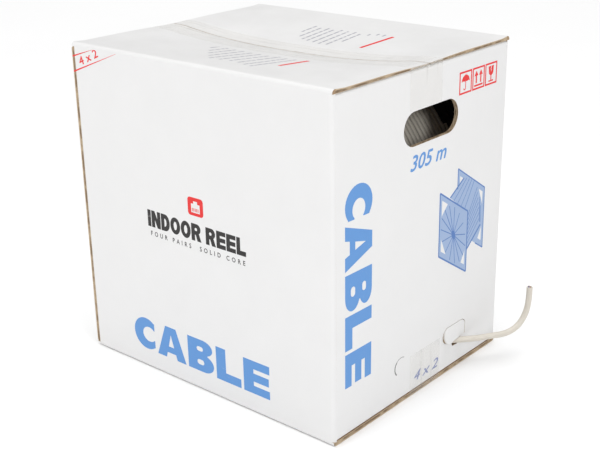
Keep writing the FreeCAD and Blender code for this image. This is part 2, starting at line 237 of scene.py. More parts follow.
class SharedEffects:
    """The node groups that more than one finish uses, each built once."""

    def __init__(self) -> None:
        """Builds every group."""
        self.fibre = self._group("paper_fibre", {"Depth": 0.5}, ("Mottle", "Height"), self._fibre)
        self.washboard = self._group(
            "flute_washboard", {"Flute": 0.0, "Pitch": 7.4}, ("Height",), self._washboard
        )
        self.wear = self._group("edge_wear", {"Rim": 9.0, "Reach": 2.5, "Amount": 0.5}, ("Mask",), self._wear)
        self.dust = self._group("settled_dust", {"Amount": 0.3}, ("Mask",), self._dust)
        self.scuff = self._group("fine_scuffs", {"Amount": 0.4}, ("Mask", "Height"), self._scuff)

    @staticmethod
    def _group(
        name: str, inputs: dict[str, float], outputs: Sequence[str], fill: Callable
    ) -> bpy.types.NodeTree:
        """Makes a node group with named value inputs and outputs.

        Args:
            name: the group's name.
            inputs: each input and its default.
            outputs: the outputs' names.
            fill: builds the nodes; takes a bench and the inputs and returns the output values in order.

        Returns:
            The group.
        """
        tree = bpy.data.node_groups.new(name, "ShaderNodeTree")
        for label, default in inputs.items():
            tree.interface.new_socket(
                label, in_out="INPUT", socket_type="NodeSocketFloat"
            ).default_value = default
        for label in outputs:
            tree.interface.new_socket(label, in_out="OUTPUT", socket_type="NodeSocketFloat")
        start, end = tree.nodes.new("NodeGroupInput"), tree.nodes.new("NodeGroupOutput")
        bench = NodeBench(tree)
        for number, value in enumerate(fill(bench, {label: start.outputs[label] for label in inputs})):
            bench.feed(end, number, value)
        return tree

    @staticmethod
    def _fibre(bench: NodeBench, given: dict) -> tuple:
        """Paper fibre: soft clouds with a fine tooth.

        Args:
            bench: the group's bench.
            given: the group's inputs by name.

        Returns:
            The outputs, in order.
        """
        cloud = bench.noise(38.0, detail=4.0)
        tooth = bench.noise(0.9, (1.0, 1.0, 0.35), detail=2.0)
        mixed = bench.maths("ADD", bench.maths("MULTIPLY", cloud, 0.75), bench.maths("MULTIPLY", tooth, 0.25))
        swing = bench.maths("MULTIPLY", bench.maths("SUBTRACT", mixed, 0.5), given["Depth"])
        return bench.maths("ADD", swing, 0.5, True), tooth

    @staticmethod
    def _washboard(bench: NodeBench, given: dict) -> tuple:
        """The flutes that telegraph through a liner as faint ridges.

        Args:
            bench: the group's bench.
            given: the group's inputs by name.

        Returns:
            The outputs, in order.
        """
        turns = bench.maths("DIVIDE", given["Flute"], given["Pitch"])
        wave = bench.maths("SINE", bench.maths("MULTIPLY", turns, 2.0 * math.pi))
        patchy = bench.span(bench.noise(55.0, detail=1.0), 0.35, 0.65, 0.35, 1.0)
        return (bench.maths("MULTIPLY", bench.maths("MULTIPLY_ADD", wave, 0.5), patchy),)

    @staticmethod
    def _wear(bench: NodeBench, given: dict) -> tuple:
        """Rubbed places near a rim, broken up by noise.

        Args:
            bench: the group's bench.
            given: the group's inputs by name.

        Returns:
            The outputs, in order.
        """
        near = bench.maths("SUBTRACT", 1.0, bench.maths("DIVIDE", given["Rim"], given["Reach"]), True)
        broken = bench.span(bench.noise(7.0, detail=5.0, rough=0.65), 0.42, 0.66)
        return (bench.maths("MULTIPLY", bench.maths("MULTIPLY", near, broken), given["Amount"], True),)

    @staticmethod
    def _dust(bench: NodeBench, given: dict) -> tuple:
        """Dust on faces that look up.

        Args:
            bench: the group's bench.
            given: the group's inputs by name.

        Returns:
            The outputs, in order.
        """
        normal = bench.add("NewGeometry").outputs["Normal"]
        up = bench.add("SeparateXYZ", in_Vector=normal).outputs["Z"]
        facing = bench.span(up, 0.2, 0.95)
        patch = bench.span(bench.noise(16.0, detail=5.0, rough=0.7), 0.3, 0.75)
        return (bench.maths("MULTIPLY", bench.maths("MULTIPLY", facing, patch), given["Amount"], True),)

    @staticmethod
    def _scuff(bench: NodeBench, given: dict) -> tuple:
        """Long fine rub marks.

        Args:
            bench: the group's bench.
            given: the group's inputs by name.

        Returns:
            The outputs, in order.
        """
        along = bench.noise(5.0, (0.25, 3.0, 1.0), detail=4.0, rough=0.7)
        over = bench.noise(6.0, (2.5, 0.4, 0.3), detail=4.0, rough=0.7)
        both = bench.maths("MAXIMUM", bench.span(along, 0.62, 0.74), bench.span(over, 0.64, 0.76))
        return bench.maths("MULTIPLY", both, given["Amount"], True), along


class Finish:
    """A material under construction: one Principled shader and its nodes."""

    def __init__(self, name: str) -> None:
        """Args: name: the material's name."""
        self.material = bpy.data.materials.new(name)
        self.material.use_nodes = True
        self.bench = NodeBench(self.material.node_tree)
        self.shader = self.material.node_tree.nodes["Principled BSDF"]

    def set(self, **sockets: object) -> None:
        """Feeds the Principled shader's sockets by name, with _ for a space."""
        for name, value in sockets.items():
            self.bench.feed(self.shader, name.replace("_", " "), value)

    def effect(self, group: bpy.types.NodeTree, **values: object) -> bpy.types.Node:
        """Places a shared node group with its own values.

        Args:
            group: the node group.
            values: its inputs by name.

        Returns:
            The group's node.
        """
        node = self.bench.add("Group", node_tree=group)
        for name, value in values.items():
            self.bench.feed(node, name, value)
        return node

    def relief(self, height: Socket, distance_mm: float, strength: float = 1.0) -> None:
        """Adds a bump of that height, on top of any before it.

        Args:
            height: the height's socket.
            distance_mm: the height of 1, in millimetres.
            strength: the bump's strength.
        """
        bump = self.bench.add("Bump", in_Height=height, in_Strength=strength, in_Distance=distance_mm * MM)
        if self.shader.inputs["Normal"].is_linked:
            self.bench.feed(bump, "Normal", self.shader.inputs["Normal"].links[0].from_socket)
        self.set(Normal=bump.outputs[0])


@dataclass(frozen=True)
class WhiteLiner:
    """The clay-coated outer liner: near white, faintly cloudy, rubbed to brown at its rims."""

    coat: Point3 = (0.800, 0.797, 0.795)
    cloud: Point3 = (0.758, 0.755, 0.753)
    bare: Point3 = (0.50, 0.41, 0.30)
    flute_relief: float = 0.035

    def make(self, effects: SharedEffects) -> Material:
        """Makes the material.

        Args:
            effects: the shared node groups.

        Returns:
            The material.
        """
        finish = Finish("white_liner")
        bench = finish.bench
        fibre = finish.effect(effects.fibre, Depth=1.3)
        wear = finish.effect(effects.wear, Rim=bench.attribute("rim"), Reach=1.1, Amount=0.40)
        dust = finish.effect(effects.dust, Amount=0.10)
        tone = bench.blend(fibre.outputs["Mottle"], self.cloud, self.coat)
        tone = bench.blend(dust.outputs["Mask"], tone, (0.62, 0.60, 0.57))
        ridges = finish.effect(effects.washboard, Flute=bench.attribute("flute")).outputs["Height"]
        finish.set(
            Base_Color=bench.blend(wear.outputs["Mask"], tone, self.bare),
            Roughness=bench.span(fibre.outputs["Mottle"], 0.2, 0.8, 0.40, 0.52),
            Coat_Weight=bench.span(wear.outputs["Mask"], 0.0, 0.4, 0.10, 0.0),
            Coat_Roughness=0.35,
        )
        finish.relief(ridges, self.flute_relief)
        finish.relief(fibre.outputs["Height"], 0.012)
        return finish.material


@dataclass(frozen=True)
class KraftLiner:
    """The brown inner liner, with darker shives."""

    light: Point3 = (0.40, 0.275, 0.165)
    dark: Point3 = (0.29, 0.19, 0.11)

    def make(self, effects: SharedEffects) -> Material:
        """Makes the material.

        Args:
            effects: the shared node groups.

        Returns:
            The material.
        """
        finish = Finish("kraft_liner")
        bench = finish.bench
        fibre = finish.effect(effects.fibre, Depth=1.6)
        dust = finish.effect(effects.dust, Amount=0.2)
        shives = bench.span(bench.noise(2.2, (1.0, 1.0, 0.2), detail=2.0), 0.66, 0.74)
        tone = bench.blend(fibre.outputs["Mottle"], self.dark, self.light)
        tone = bench.blend(bench.maths("MULTIPLY", shives, 0.5), tone, (0.16, 0.10, 0.06))
        finish.set(
            Base_Color=bench.blend(dust.outputs["Mask"], tone, (0.5, 0.42, 0.33)),
            Roughness=bench.span(fibre.outputs["Mottle"], 0.2, 0.8, 0.78, 0.9),
        )
        ridges = finish.effect(effects.washboard, Flute=bench.attribute("flute")).outputs["Height"]
        finish.relief(ridges, 0.06)
        finish.relief(fibre.outputs["Height"], 0.03)
        return finish.material


@dataclass(frozen=True)
class CutEdge:
    """A raw edge: two liners and the wavy flute between them, with the hollows of the flute painted dark as
    the shade inside them.
    """

    board: float = 4.0
    pitch: float = 7.4
    swing: float = 1.35
    paper: Point3 = (0.46, 0.33, 0.20)
    torn: Point3 = (0.60, 0.49, 0.35)
    hollow: Point3 = (0.20, 0.135, 0.08)

    def make(self, effects: SharedEffects) -> Material:
        """Makes the material.

        Args:
            effects: the shared node groups.

        Returns:
            The material.
        """
        finish = Finish("cut_edge")
        bench = finish.bench
        depth, flute = bench.attribute("depth"), bench.attribute("flute")
        rough = bench.noise(1.6, detail=3.0)
        turns = bench.maths("MULTIPLY", flute, 2.0 * math.pi / self.pitch)
        middle = bench.maths(
            "ADD", bench.maths("MULTIPLY", bench.maths("SINE", turns), self.swing), self.board / 2
        )
        frayed = bench.maths("MULTIPLY", bench.maths("SUBTRACT", rough, 0.5), 0.9)
        off = bench.maths("ABSOLUTE", bench.maths("SUBTRACT", bench.maths("ADD", depth, frayed), middle))
        from_face = bench.maths("MINIMUM", depth, bench.maths("SUBTRACT", self.board, depth))
        paper = bench.maths("MAXIMUM", bench.span(off, 0.62, 0.32), bench.span(from_face, 0.62, 0.42))
        crushed = bench.span(bench.noise(11.0, detail=3.0), 0.40, 0.66)
        solid = bench.maths("MAXIMUM", paper, bench.maths("MULTIPLY", crushed, 0.75))
        fibre = finish.effect(effects.fibre, Depth=2.0)
        tone = bench.blend(fibre.outputs["Mottle"], self.paper, self.torn)
        # Painted shade: where no paper shows, the edge takes the dark colour in place of the shade inside the
        # flute's channels.
        finish.set(
            Base_Color=bench.blend(solid, self.hollow, tone),
            Roughness=bench.span(fibre.outputs["Mottle"], 0.2, 0.8, 0.82, 0.95),
        )
        finish.relief(solid, 0.5)
        finish.relief(rough, 0.12)
        return finish.material


@dataclass(frozen=True)
class TornEdge:
    """A torn edge: white liner fibres pulled over the brown flute."""

    fibre: Point3 = (0.78, 0.765, 0.74)
    kraft: Point3 = (0.45, 0.33, 0.21)

    def make(self, effects: SharedEffects) -> Material:
        """Makes the material.

        Args:
            effects: the shared node groups.

        Returns:
            The material.
        """
        finish = Finish("torn_edge")
        bench = finish.bench
        tuft = bench.noise(2.4, detail=5.0, rough=0.7)
        from_face = bench.maths("DIVIDE", bench.attribute("depth"), 4.0)
        brown = bench.span(bench.maths("ADD", bench.maths("MULTIPLY", from_face, 0.55), tuft), 0.66, 0.84)
        fibre = finish.effect(effects.fibre, Depth=2.0)
        finish.set(
            Base_Color=bench.blend(brown, self.fibre, self.kraft),
            Roughness=bench.span(fibre.outputs["Mottle"], 0.2, 0.8, 0.82, 0.95),
        )
        finish.relief(tuft, 0.35)
        return finish.material


@dataclass(frozen=True)
class PrintInk:
    """Flexographic ink on the liner, a little thin in places; the same film also carries the painted shade of
    the slot's die cut.
    """

    ink: Ink
    thin: float = 0.03

    def make(self, effects: SharedEffects) -> Material:
        """Makes the material.

        Args:
            effects: the shared node groups.

        Returns:
            The material.
        """
        finish = Finish("ink_" + self.ink.name.lower())
        bench = finish.bench
        fibre = finish.effect(effects.fibre, Depth=1.6)
        scuff = finish.effect(effects.scuff, Amount=0.12)
        pale = tuple(c + (0.84 - c) * self.thin for c in self.ink.value)
        tone = bench.blend(fibre.outputs["Mottle"], self.ink.value, pale)
        finish.set(
            Base_Color=bench.blend(scuff.outputs["Mask"], tone, (0.76, 0.755, 0.75)),
            Roughness=bench.span(fibre.outputs["Mottle"], 0.2, 0.8, 0.42, 0.55),
            Specular_IOR_Level=0.3,
        )
        finish.relief(fibre.outputs["Height"], 0.012)
        return finish.material


@dataclass(frozen=True)
class ClearTape:
    """Clear packing tape: glossy, faintly straw coloured, with pale lines where it isn't stuck down."""

    tint: Point3 = (0.87, 0.845, 0.79)

    def make(self, effects: SharedEffects) -> Material:
        """Makes the material.

        Args:
            effects: the shared node groups.

        Returns:
            The material.
        """
        finish = Finish("clear_tape")
        bench = finish.bench
        bubbles = bench.span(bench.noise(26.0, (1.0, 1.0, 0.5), detail=4.0), 0.50, 0.70)
        scuff = finish.effect(effects.scuff, Amount=0.20)
        cover = bench.maths("ADD", bench.maths("MULTIPLY", bubbles, 0.05), 0.07)
        loose = bench.maths("MULTIPLY", bench.attribute("lift"), 0.30)
        finish.set(
            Base_Color=bench.blend(bubbles, self.tint, (0.90, 0.895, 0.88)),
            Roughness=bench.span(scuff.outputs["Mask"], 0.0, 0.3, 0.10, 0.28),
            Alpha=bench.maths("ADD", cover, loose, True),
            IOR=1.49,
        )
        finish.relief(bench.noise(22.0, (0.4, 1.3, 0.6), detail=2.0), 0.04)
        return finish.material


@dataclass(frozen=True)
class MouldedPlastic:
    """Matt black recycled polypropylene with an eroded grain and grey rub marks."""

    dark: Point3 = (0.020, 0.020, 0.022)
    light: Point3 = (0.046, 0.046, 0.049)

    def make(self, effects: SharedEffects) -> Material:
        """Makes the material.

        Args:
            effects: the shared node groups.

        Returns:
            The material.
        """
        finish = Finish("moulded_plate")
        bench = finish.bench
        flow = bench.noise(60.0, (1.0, 1.0, 0.3), detail=5.0)
        grain = bench.noise(0.7, detail=2.0)
        scuff = finish.effect(effects.scuff, Amount=0.45)
        dust = finish.effect(effects.dust, Amount=0.35)
        tone = bench.blend(flow, self.dark, self.light)
        tone = bench.blend(scuff.outputs["Mask"], tone, (0.12, 0.12, 0.125))
        finish.set(
            Base_Color=bench.blend(dust.outputs["Mask"], tone, (0.30, 0.28, 0.25)),
            Roughness=bench.span(grain, 0.2, 0.8, 0.48, 0.66),
        )
        finish.relief(grain, 0.05)
        return finish.material


@dataclass(frozen=True)
class SpiralTube:
    """The kraft core tube, with its plies' spiral joints."""

    ply: float = 70.0
    light: Point3 = (0.46, 0.33, 0.20)
    dark: Point3 = (0.36, 0.25, 0.15)

    def make(self, effects: SharedEffects) -> Material:
        """Makes the material.

        Args:
            effects: the shared node groups.

        Returns:
            The material.
        """
        finish = Finish("spiral_tube")
        bench = finish.bench
        fibre = finish.effect(effects.fibre, Depth=1.8)
        dust = finish.effect(effects.dust, Amount=0.25)
        axes = bench.add("SeparateXYZ", in_Vector=bench.add("TexCoord").outputs["Object"])
        height = bench.maths("SUBTRACT", axes.outputs["Z"], 0.159)
        turn = bench.maths("ARCTAN2", height, axes.outputs["X"])
        wound = bench.maths(
            "ADD", bench.maths("DIVIDE", axes.outputs["Y"], self.ply * MM),
            bench.maths("DIVIDE", turn, 2.0 * math.pi),
        )
        ramp = bench.maths("FRACT", wound)
        joint = bench.maths("MAXIMUM", bench.span(ramp, 0.03, 0.0), bench.span(ramp, 0.985, 1.0))
        tone = bench.blend(fibre.outputs["Mottle"], self.dark, self.light)
        tone = bench.blend(joint, tone, (0.17, 0.11, 0.06))
        finish.set(
            Base_Color=bench.blend(dust.outputs["Mask"], tone, (0.5, 0.43, 0.35)),
            Roughness=bench.span(fibre.outputs["Mottle"], 0.2, 0.8, 0.6, 0.8),
        )
        finish.relief(bench.maths("SUBTRACT", 1.0, joint), 0.3)
        return finish.material


@dataclass(frozen=True)
class CableJacket:
    """Satin PVC jacket, grey-beige, with drawn streaks and handling marks, and painted shade between the
    wound turns.
    """

    light: Point3 = (0.70, 0.655, 0.58)
    dark: Point3 = (0.62, 0.575, 0.50)
    grime: Point3 = (0.15, 0.13, 0.10)

    def make(self, effects: SharedEffects) -> Material:
        """Makes the material.

        Args:
            effects: the shared node groups.

        Returns:
            The material.
        """
        finish = Finish("cable_jacket")
        bench = finish.bench
        tone = bench.blend(bench.noise(24.0, detail=4.0), self.dark, self.light)
        scuff = finish.effect(effects.scuff, Amount=0.3)
        dust = finish.effect(effects.dust, Amount=0.15)
        tone = bench.blend(scuff.outputs["Mask"], tone, (0.46, 0.43, 0.39))
        # Painted shade: the jacket darkens where its surface lies deep in the grooves between wound turns.
        tone = bench.blend(bench.span(bench.attribute("groove"), 0.25, 0.85, 0.0, 0.8), tone, self.grime)
        skin = bench.noise(0.8, detail=2.0)
        finish.set(
            Base_Color=bench.blend(dust.outputs["Mask"], tone, (0.60, 0.57, 0.52)),
            Roughness=bench.span(skin, 0.2, 0.8, 0.34, 0.46),
        )
        finish.relief(skin, 0.03)
        return finish.material


@dataclass(frozen=True)
class CoreInsulation:
    """The insulation of one wire, or the bare copper in it."""

    name: str
    colour: Point3
    metal: float = 0.0

    def make(self, effects: SharedEffects) -> Material:
        """Makes the material.

        Args:
            effects: the shared node groups.

        Returns:
            The material.
        """
        finish = Finish("wire_" + self.name)
        bench = finish.bench
        fibre = finish.effect(effects.fibre, Depth=1.5)
        darker = tuple(c * 0.8 for c in self.colour)
        finish.set(
            Base_Color=bench.blend(fibre.outputs["Mottle"], darker, self.colour),
            Metallic=self.metal,
            Roughness=bench.span(fibre.outputs["Height"], 0.2, 0.8, 0.22, 0.42),
        )
        return finish.material


class FinishRack:
    """Every finish of the object, made once."""

    def __init__(self) -> None:
        """Makes the shared effects and the materials."""
        effects = SharedEffects()
        self.white = WhiteLiner().make(effects)
        self.kraft = KraftLiner().make(effects)
        self.cut = CutEdge().make(effects)
        self.torn = TornEdge().make(effects)
        self.tape = ClearTape().make(effects)
        self.plate = MouldedPlastic().make(effects)
        self.tube = SpiralTube().make(effects)
        self.jacket = CableJacket().make(effects)
        self.inks = {ink: PrintInk(ink).make(effects) for ink in Ink}
        wires = {"blue": (0.05, 0.12, 0.5), "orange": (0.75, 0.22, 0.03), "green": (0.05, 0.3, 0.08)}
        wires.update(brown=(0.18, 0.08, 0.04), white=(0.78, 0.78, 0.75))
        self.wires = [CoreInsulation(name, colour).make(effects) for name, colour in wires.items()]
        self.copper = CoreInsulation("copper", (0.85, 0.42, 0.22), 1.0).make(effects)

    @property
    def board(self) -> list[Material]:
        """The finishes of a piece of board: outer face, inner face, raw edge."""
        return [self.white, self.kraft, self.cut]


# --------------------------------------------------------------------------------------------------
# Outlines and closed sheets
# --------------------------------------------------------------------------------------------------


def arc(centre: Point2, radii: Point2, start: float, end: float, steps: int = 10) -> Loop:
    """Returns points along an elliptical arc, with angles in degrees.

    Args:
        centre: its middle.
        radii: its radii along each axis.
        start: where it begins.
        end: where it ends.
        steps: the number of steps.

    Returns:
        The points.
    """
    turns = np.radians(np.linspace(start, end, steps + 1))
    return [(centre[0] + radii[0] * math.cos(t), centre[1] + radii[1] * math.sin(t)) for t in turns]


def rectangle(low: Point2, high: Point2) -> Loop:
    """Returns a rectangle's corners."""
    return [low, (high[0], low[1]), high, (low[0], high[1])]


def obround(centre: Point2, length: float, height: float, steps: int = 16) -> Loop:
    """Returns a slot shape with round ends, long in the first direction.

    Args:
        centre: its middle.
        length: its whole length.
        height: its height.
        steps: the steps of each round end.

    Returns:
        The outline.
    """
    radius, reach = height / 2, (length - height) / 2
    right = arc((centre[0] + reach, centre[1]), (radius, radius), -90, 90, steps)
    return right + arc((centre[0] - reach, centre[1]), (radius, radius), 90, 270, steps)


def stroke(points: Sequence[Point2], width: float) -> Loop:
    """Returns the outline of a line of that width through the points.

    Args:
        points: the line's points.
        width: the line's width.

    Returns:
        The outline.
    """
    path = np.array(points, float)
    along = np.gradient(path, axis=0)
    along /= np.linalg.norm(along, axis=1)[:, None]
    side = np.stack([-along[:, 1], along[:, 0]], axis=1) * width / 2
    return [tuple(p) for p in np.concatenate([path + side, (path - side)[::-1]])]


def moved(loops: Sequence[Loop], shift: Point2, scale: Point2 = (1.0, 1.0), turn: float = 0.0) -> list[Loop]:
    """Returns loops scaled, turned by degrees and shifted.

    Args:
        loops: the loops.
        shift: where their origin goes.
        scale: the stretch along each axis.
        turn: the turn in degrees.

    Returns:
        The moved loops.
    """
    c, s = math.cos(math.radians(turn)), math.sin(math.radians(turn))
    grown = [[(u * scale[0], v * scale[1]) for u, v in loop] for loop in loops]
    return [[(shift[0] + c * u - s * v, shift[1] + s * u + c * v) for u, v in loop] for loop in grown]


def ragged(loop: Loop, where: Callable[[Point2], bool], step: float, bite: float, seed: int) -> Loop:
    """Returns a loop whose chosen sides are torn.

    Args:
        loop: the clean outline.
        where: says whether a point lies on a torn side.
        step: the distance between the new points.
        bite: how far a point may move.
        seed: the seed of the tear.

    Returns:
        The torn outline.
    """
    dice, torn = np.random.default_rng(seed), []
    for first, second in zip(loop, loop[1:] + loop[:1]):
        torn.append(first)
        count = int(math.dist(first, second) / step)
        for i in range(1, count):
            point = tuple(a + (b - a) * i / count for a, b in zip(first, second))
            if where(point):
                point = tuple(c + float(dice.uniform(-bite, bite)) for c in point)
                torn.append(point)
    return torn


def never(u: float, v: float) -> bool:
    """Says that no place on a sheet is meant."""
    return False


def heavier(loops: Sequence[Loop], amount: float) -> list[Loop]:
    """Returns outlines grown outwards, with their holes drawn in.

    Args:
        loops: the outlines of one figure.
        amount: how far each point moves.

    Returns:
        The new outlines.
    """
    grown, widest = [], 0.0
    for loop in loops:
        path = np.array(loop, float)
        after = np.roll(path, -1, axis=0)
        area = float((path[:, 0] * after[:, 1] - after[:, 0] * path[:, 1]).sum())
        widest = area if abs(area) > abs(widest) else widest
        along = after - np.roll(path, 1, axis=0)
        along /= np.maximum(np.linalg.norm(along, axis=1), 1e-9)[:, None]
        grown.append((path, np.stack([along[:, 1], -along[:, 0]], axis=1)))
    return [[tuple(p) for p in path + math.copysign(amount, widest) * out] for path, out in grown]


def inside(points: np.ndarray, loop: Loop) -> np.ndarray:
    """Returns which points lie inside a loop.

    Args:
        points: the points.
        loop: the loop.

    Returns:
        True for each point inside.
    """
    ring = np.array(loop, float)
    after = np.roll(ring, -1, axis=0)
    u, v = points[:, :1], points[:, 1:2]
    crosses = (ring[:, 1] > v) != (after[:, 1] > v)
    rise = np.where(after[:, 1] == ring[:, 1], 1e-12, after[:, 1] - ring[:, 1])
    at = (after[:, 0] - ring[:, 0]) * (v - ring[:, 1]) / rise + ring[:, 0]
    return (np.sum(crosses & (u < at), axis=1) % 2) == 1


@dataclass
class Cut:
    """A flat sheet cut to shape: one or more figures, each a set of loops where an inner loop is a hole."""

    figures: Figures
    across: Sequence[float] = ()
    up: Sequence[float] = ()

    def facets(self) -> tuple[np.ndarray, np.ndarray]:
        """Returns the sheet's points and its triangles."""
        loops = [loop for figure in self.figures for loop in figure]
        every = np.array([p for loop in loops for p in loop], float)
        low, high = every.min(0), every.max(0)
        points, edges = [], []
        for loop in loops:
            start = len(points)
            points += loop
            edges += [(start + i, start + (i + 1) % len(loop)) for i in range(len(loop))]
        for axis, lines in ((0, self.across), (1, self.up)):
            for line in lines:
                if low[axis] + 1e-3 < line < high[axis] - 1e-3:
                    start, ends = len(points), ((line, low[1]), (line, high[1]))
                    points += ends if axis == 0 else [(low[0], line), (high[0], line)]
                    edges.append((start, start + 1))
        made = delaunay_2d_cdt([Vector(p) for p in points], edges, [], 0, 1e-4)
        flat = np.array([tuple(v) for v in made[0]], float)
        faces = np.array([tuple(f) for f in made[2]], int)
        corners = flat[faces]
        centres = corners.mean(axis=1)
        first, second = corners[:, 1] - corners[:, 0], corners[:, 2] - corners[:, 0]
        area = first[:, 0] * second[:, 1] - first[:, 1] * second[:, 0]
        kept = np.zeros(len(faces), bool)
        for figure in self.figures:
            odd = np.zeros(len(faces), int)
            for loop in figure:
                odd += inside(centres, loop)
            kept |= odd % 2 == 1
        kept &= np.abs(area) > 1e-7
        faces = np.where((area < 0)[:, None], faces[:, ::-1], faces)[kept]
        used, index = np.unique(faces, return_inverse=True)
        return flat[used], index.reshape(faces.shape)

    def solid(
        self,
        name: str,
        place: Place,
        depths: Sequence[float],
        finishes: Sequence[Material],
        folded: OnSheet | None = None,
        worn: OnSheet | None = None,
        flute: int = 0,
        lift: Callable[[np.ndarray, np.ndarray], np.ndarray] | None = None,
    ) -> Piece:
        """Makes a closed piece of the sheet.

        Args:
            name: the piece's name.
            place: turns sheet coordinates and depth into points of the object.
            depths: the depth of each layer, from the outer face to the inner one.
            finishes: outer face, inner face and raw edge, or one finish for all.
            folded: says whether a rim edge at (u, v) is a fold that keeps the outer finish.
            worn: says whether a rim edge at (u, v) is rubbed; every edge that isn't folded, if left out.
            flute: the sheet coordinate that runs across the flutes.
            lift: how far the sheet stands off at a point, from 0 to 1, stored for the finish.

        Returns:
            The piece, closed and smooth shaded.
        """
        flat, faces = self.facets()
        count, layers = len(flat), len(depths)
        sides: dict[tuple[int, int], int] = {}
        for a, b, c in faces:
            for edge in ((a, b), (b, c), (c, a)):
                if sides.pop((edge[1], edge[0]), None) is None:
                    sides[edge] = 1
        rim_points = sorted({i for edge in sides for i in edge})
        place_of = {(i, 0): i for i in range(count)} | {(i, layers - 1): count + i for i in range(count)}
        rows = [flat, flat]
        depth_rows = [np.full(count, depths[0]), np.full(count, depths[-1])]
        total = 2 * count
        for layer in range(1, layers - 1):
            place_of |= {(i, layer): total + n for n, i in enumerate(rim_points)}
            rows.append(flat[rim_points])
            depth_rows.append(np.full(len(rim_points), depths[layer]))
            total += len(rim_points)
        sheet, depth = np.concatenate(rows), np.concatenate(depth_rows)
        polygons = [tuple(f) for f in faces] + [tuple(count + f[::-1]) for f in faces]
        kinds = [0] * len(faces) + [1] * len(faces)
        rubbed = [(1e3, 1e3)]
        for a, b in sides:
            middle = (flat[a] + flat[b]) / 2
            kind = 0 if folded and folded(float(middle[0]), float(middle[1])) else 2
            if worn(float(middle[0]), float(middle[1])) if worn else kind == 2:
                rubbed.append(tuple(middle))
            for layer in range(layers - 1):
                polygons.append(
                    (place_of[b, layer], place_of[a, layer], place_of[a, layer + 1], place_of[b, layer + 1])
                )
                kinds.append(kind)
        piece = make_mesh(name, place(sheet[:, 0], sheet[:, 1], depth), polygons, finishes, kinds)
        rim = np.array(rubbed)
        store(piece, "flute", sheet[:, flute])
        store(piece, "depth", depth)
        store(piece, "rim", np.array([np.sqrt(((rim - p) ** 2).sum(1).min()) for p in sheet]))
        if lift is not None:
            store(piece, "lift", lift(sheet[:, 0], sheet[:, 1]))
        return piece


def make_mesh(
    name: str,
    points: np.ndarray,
    polygons: Sequence[tuple],
    finishes: Sequence[Material],
    kinds: Sequence[int],
) -> Piece:
    """Makes an object from points in millimetres, with outward normals.

    Args:
        name: the piece's name.
        points: the vertices.
        polygons: the faces' vertex numbers.
        finishes: the materials.
        kinds: each face's material number, cut down to the materials there are.

    Returns:
        The object, linked to the scene.
    """
    mesh = bpy.data.meshes.new(name)
    mesh.from_pydata(
        [tuple(p) for p in np.asarray(points) * MM], [], [tuple(int(i) for i in p) for p in polygons]
    )
    for finish in finishes:
        mesh.materials.append(finish)
    mesh.polygons.foreach_set("material_index", np.minimum(kinds, len(finishes) - 1))
    work = bmesh.new()
    work.from_mesh(mesh)
    bmesh.ops.recalc_face_normals(work, faces=work.faces)
    if work.calc_volume(signed=True) < 0:
        bmesh.ops.reverse_faces(work, faces=work.faces)
    work.to_mesh(mesh)
    work.free()
    mesh.polygons.foreach_set("use_smooth", [True] * len(mesh.polygons))
    mesh.set_sharp_from_angle(angle=math.radians(32))
    mesh.validate()
    piece = bpy.data.objects.new(name, mesh)
    bpy.context.scene.collection.objects.link(piece)
    return piece


def store(piece: Piece, name: str, values: np.ndarray) -> None:
    """Stores a number for each point of a piece."""
    held = piece.data.attributes.new(name, "FLOAT", "POINT")
    held.data.foreach_set("value", np.asarray(values, np.float32))


def seat(piece: Piece, body: Body, slot: Slot | None, *nodes: str) -> Piece:
    """Makes a piece ride on a body and stand for its CAD nodes, and reports it.

    Args:
        piece: the piece.
        body: the body that it rides on.
        slot: its record slot, if it has one.
        nodes: the CAD nodes that it stands for.

    Returns:
        The piece.
    """
    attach(piece, body.value)
    note(piece, slot, *nodes)
    return piece


def note(piece: Piece, slot: Slot | None, *nodes: str) -> None:
    """Hides the CAD nodes that a piece stands for and reports it.

    Args:
        piece: the piece.
        slot: its record slot, if it has one; not used.
        nodes: the CAD nodes that it stands for.
    """
    if nodes:
        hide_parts(*nodes)
    log.info("%s: stands for %s", piece.name, ", ".join(nodes) or "itself")


# --------------------------------------------------------------------------------------------------
# The carton's form
# --------------------------------------------------------------------------------------------------


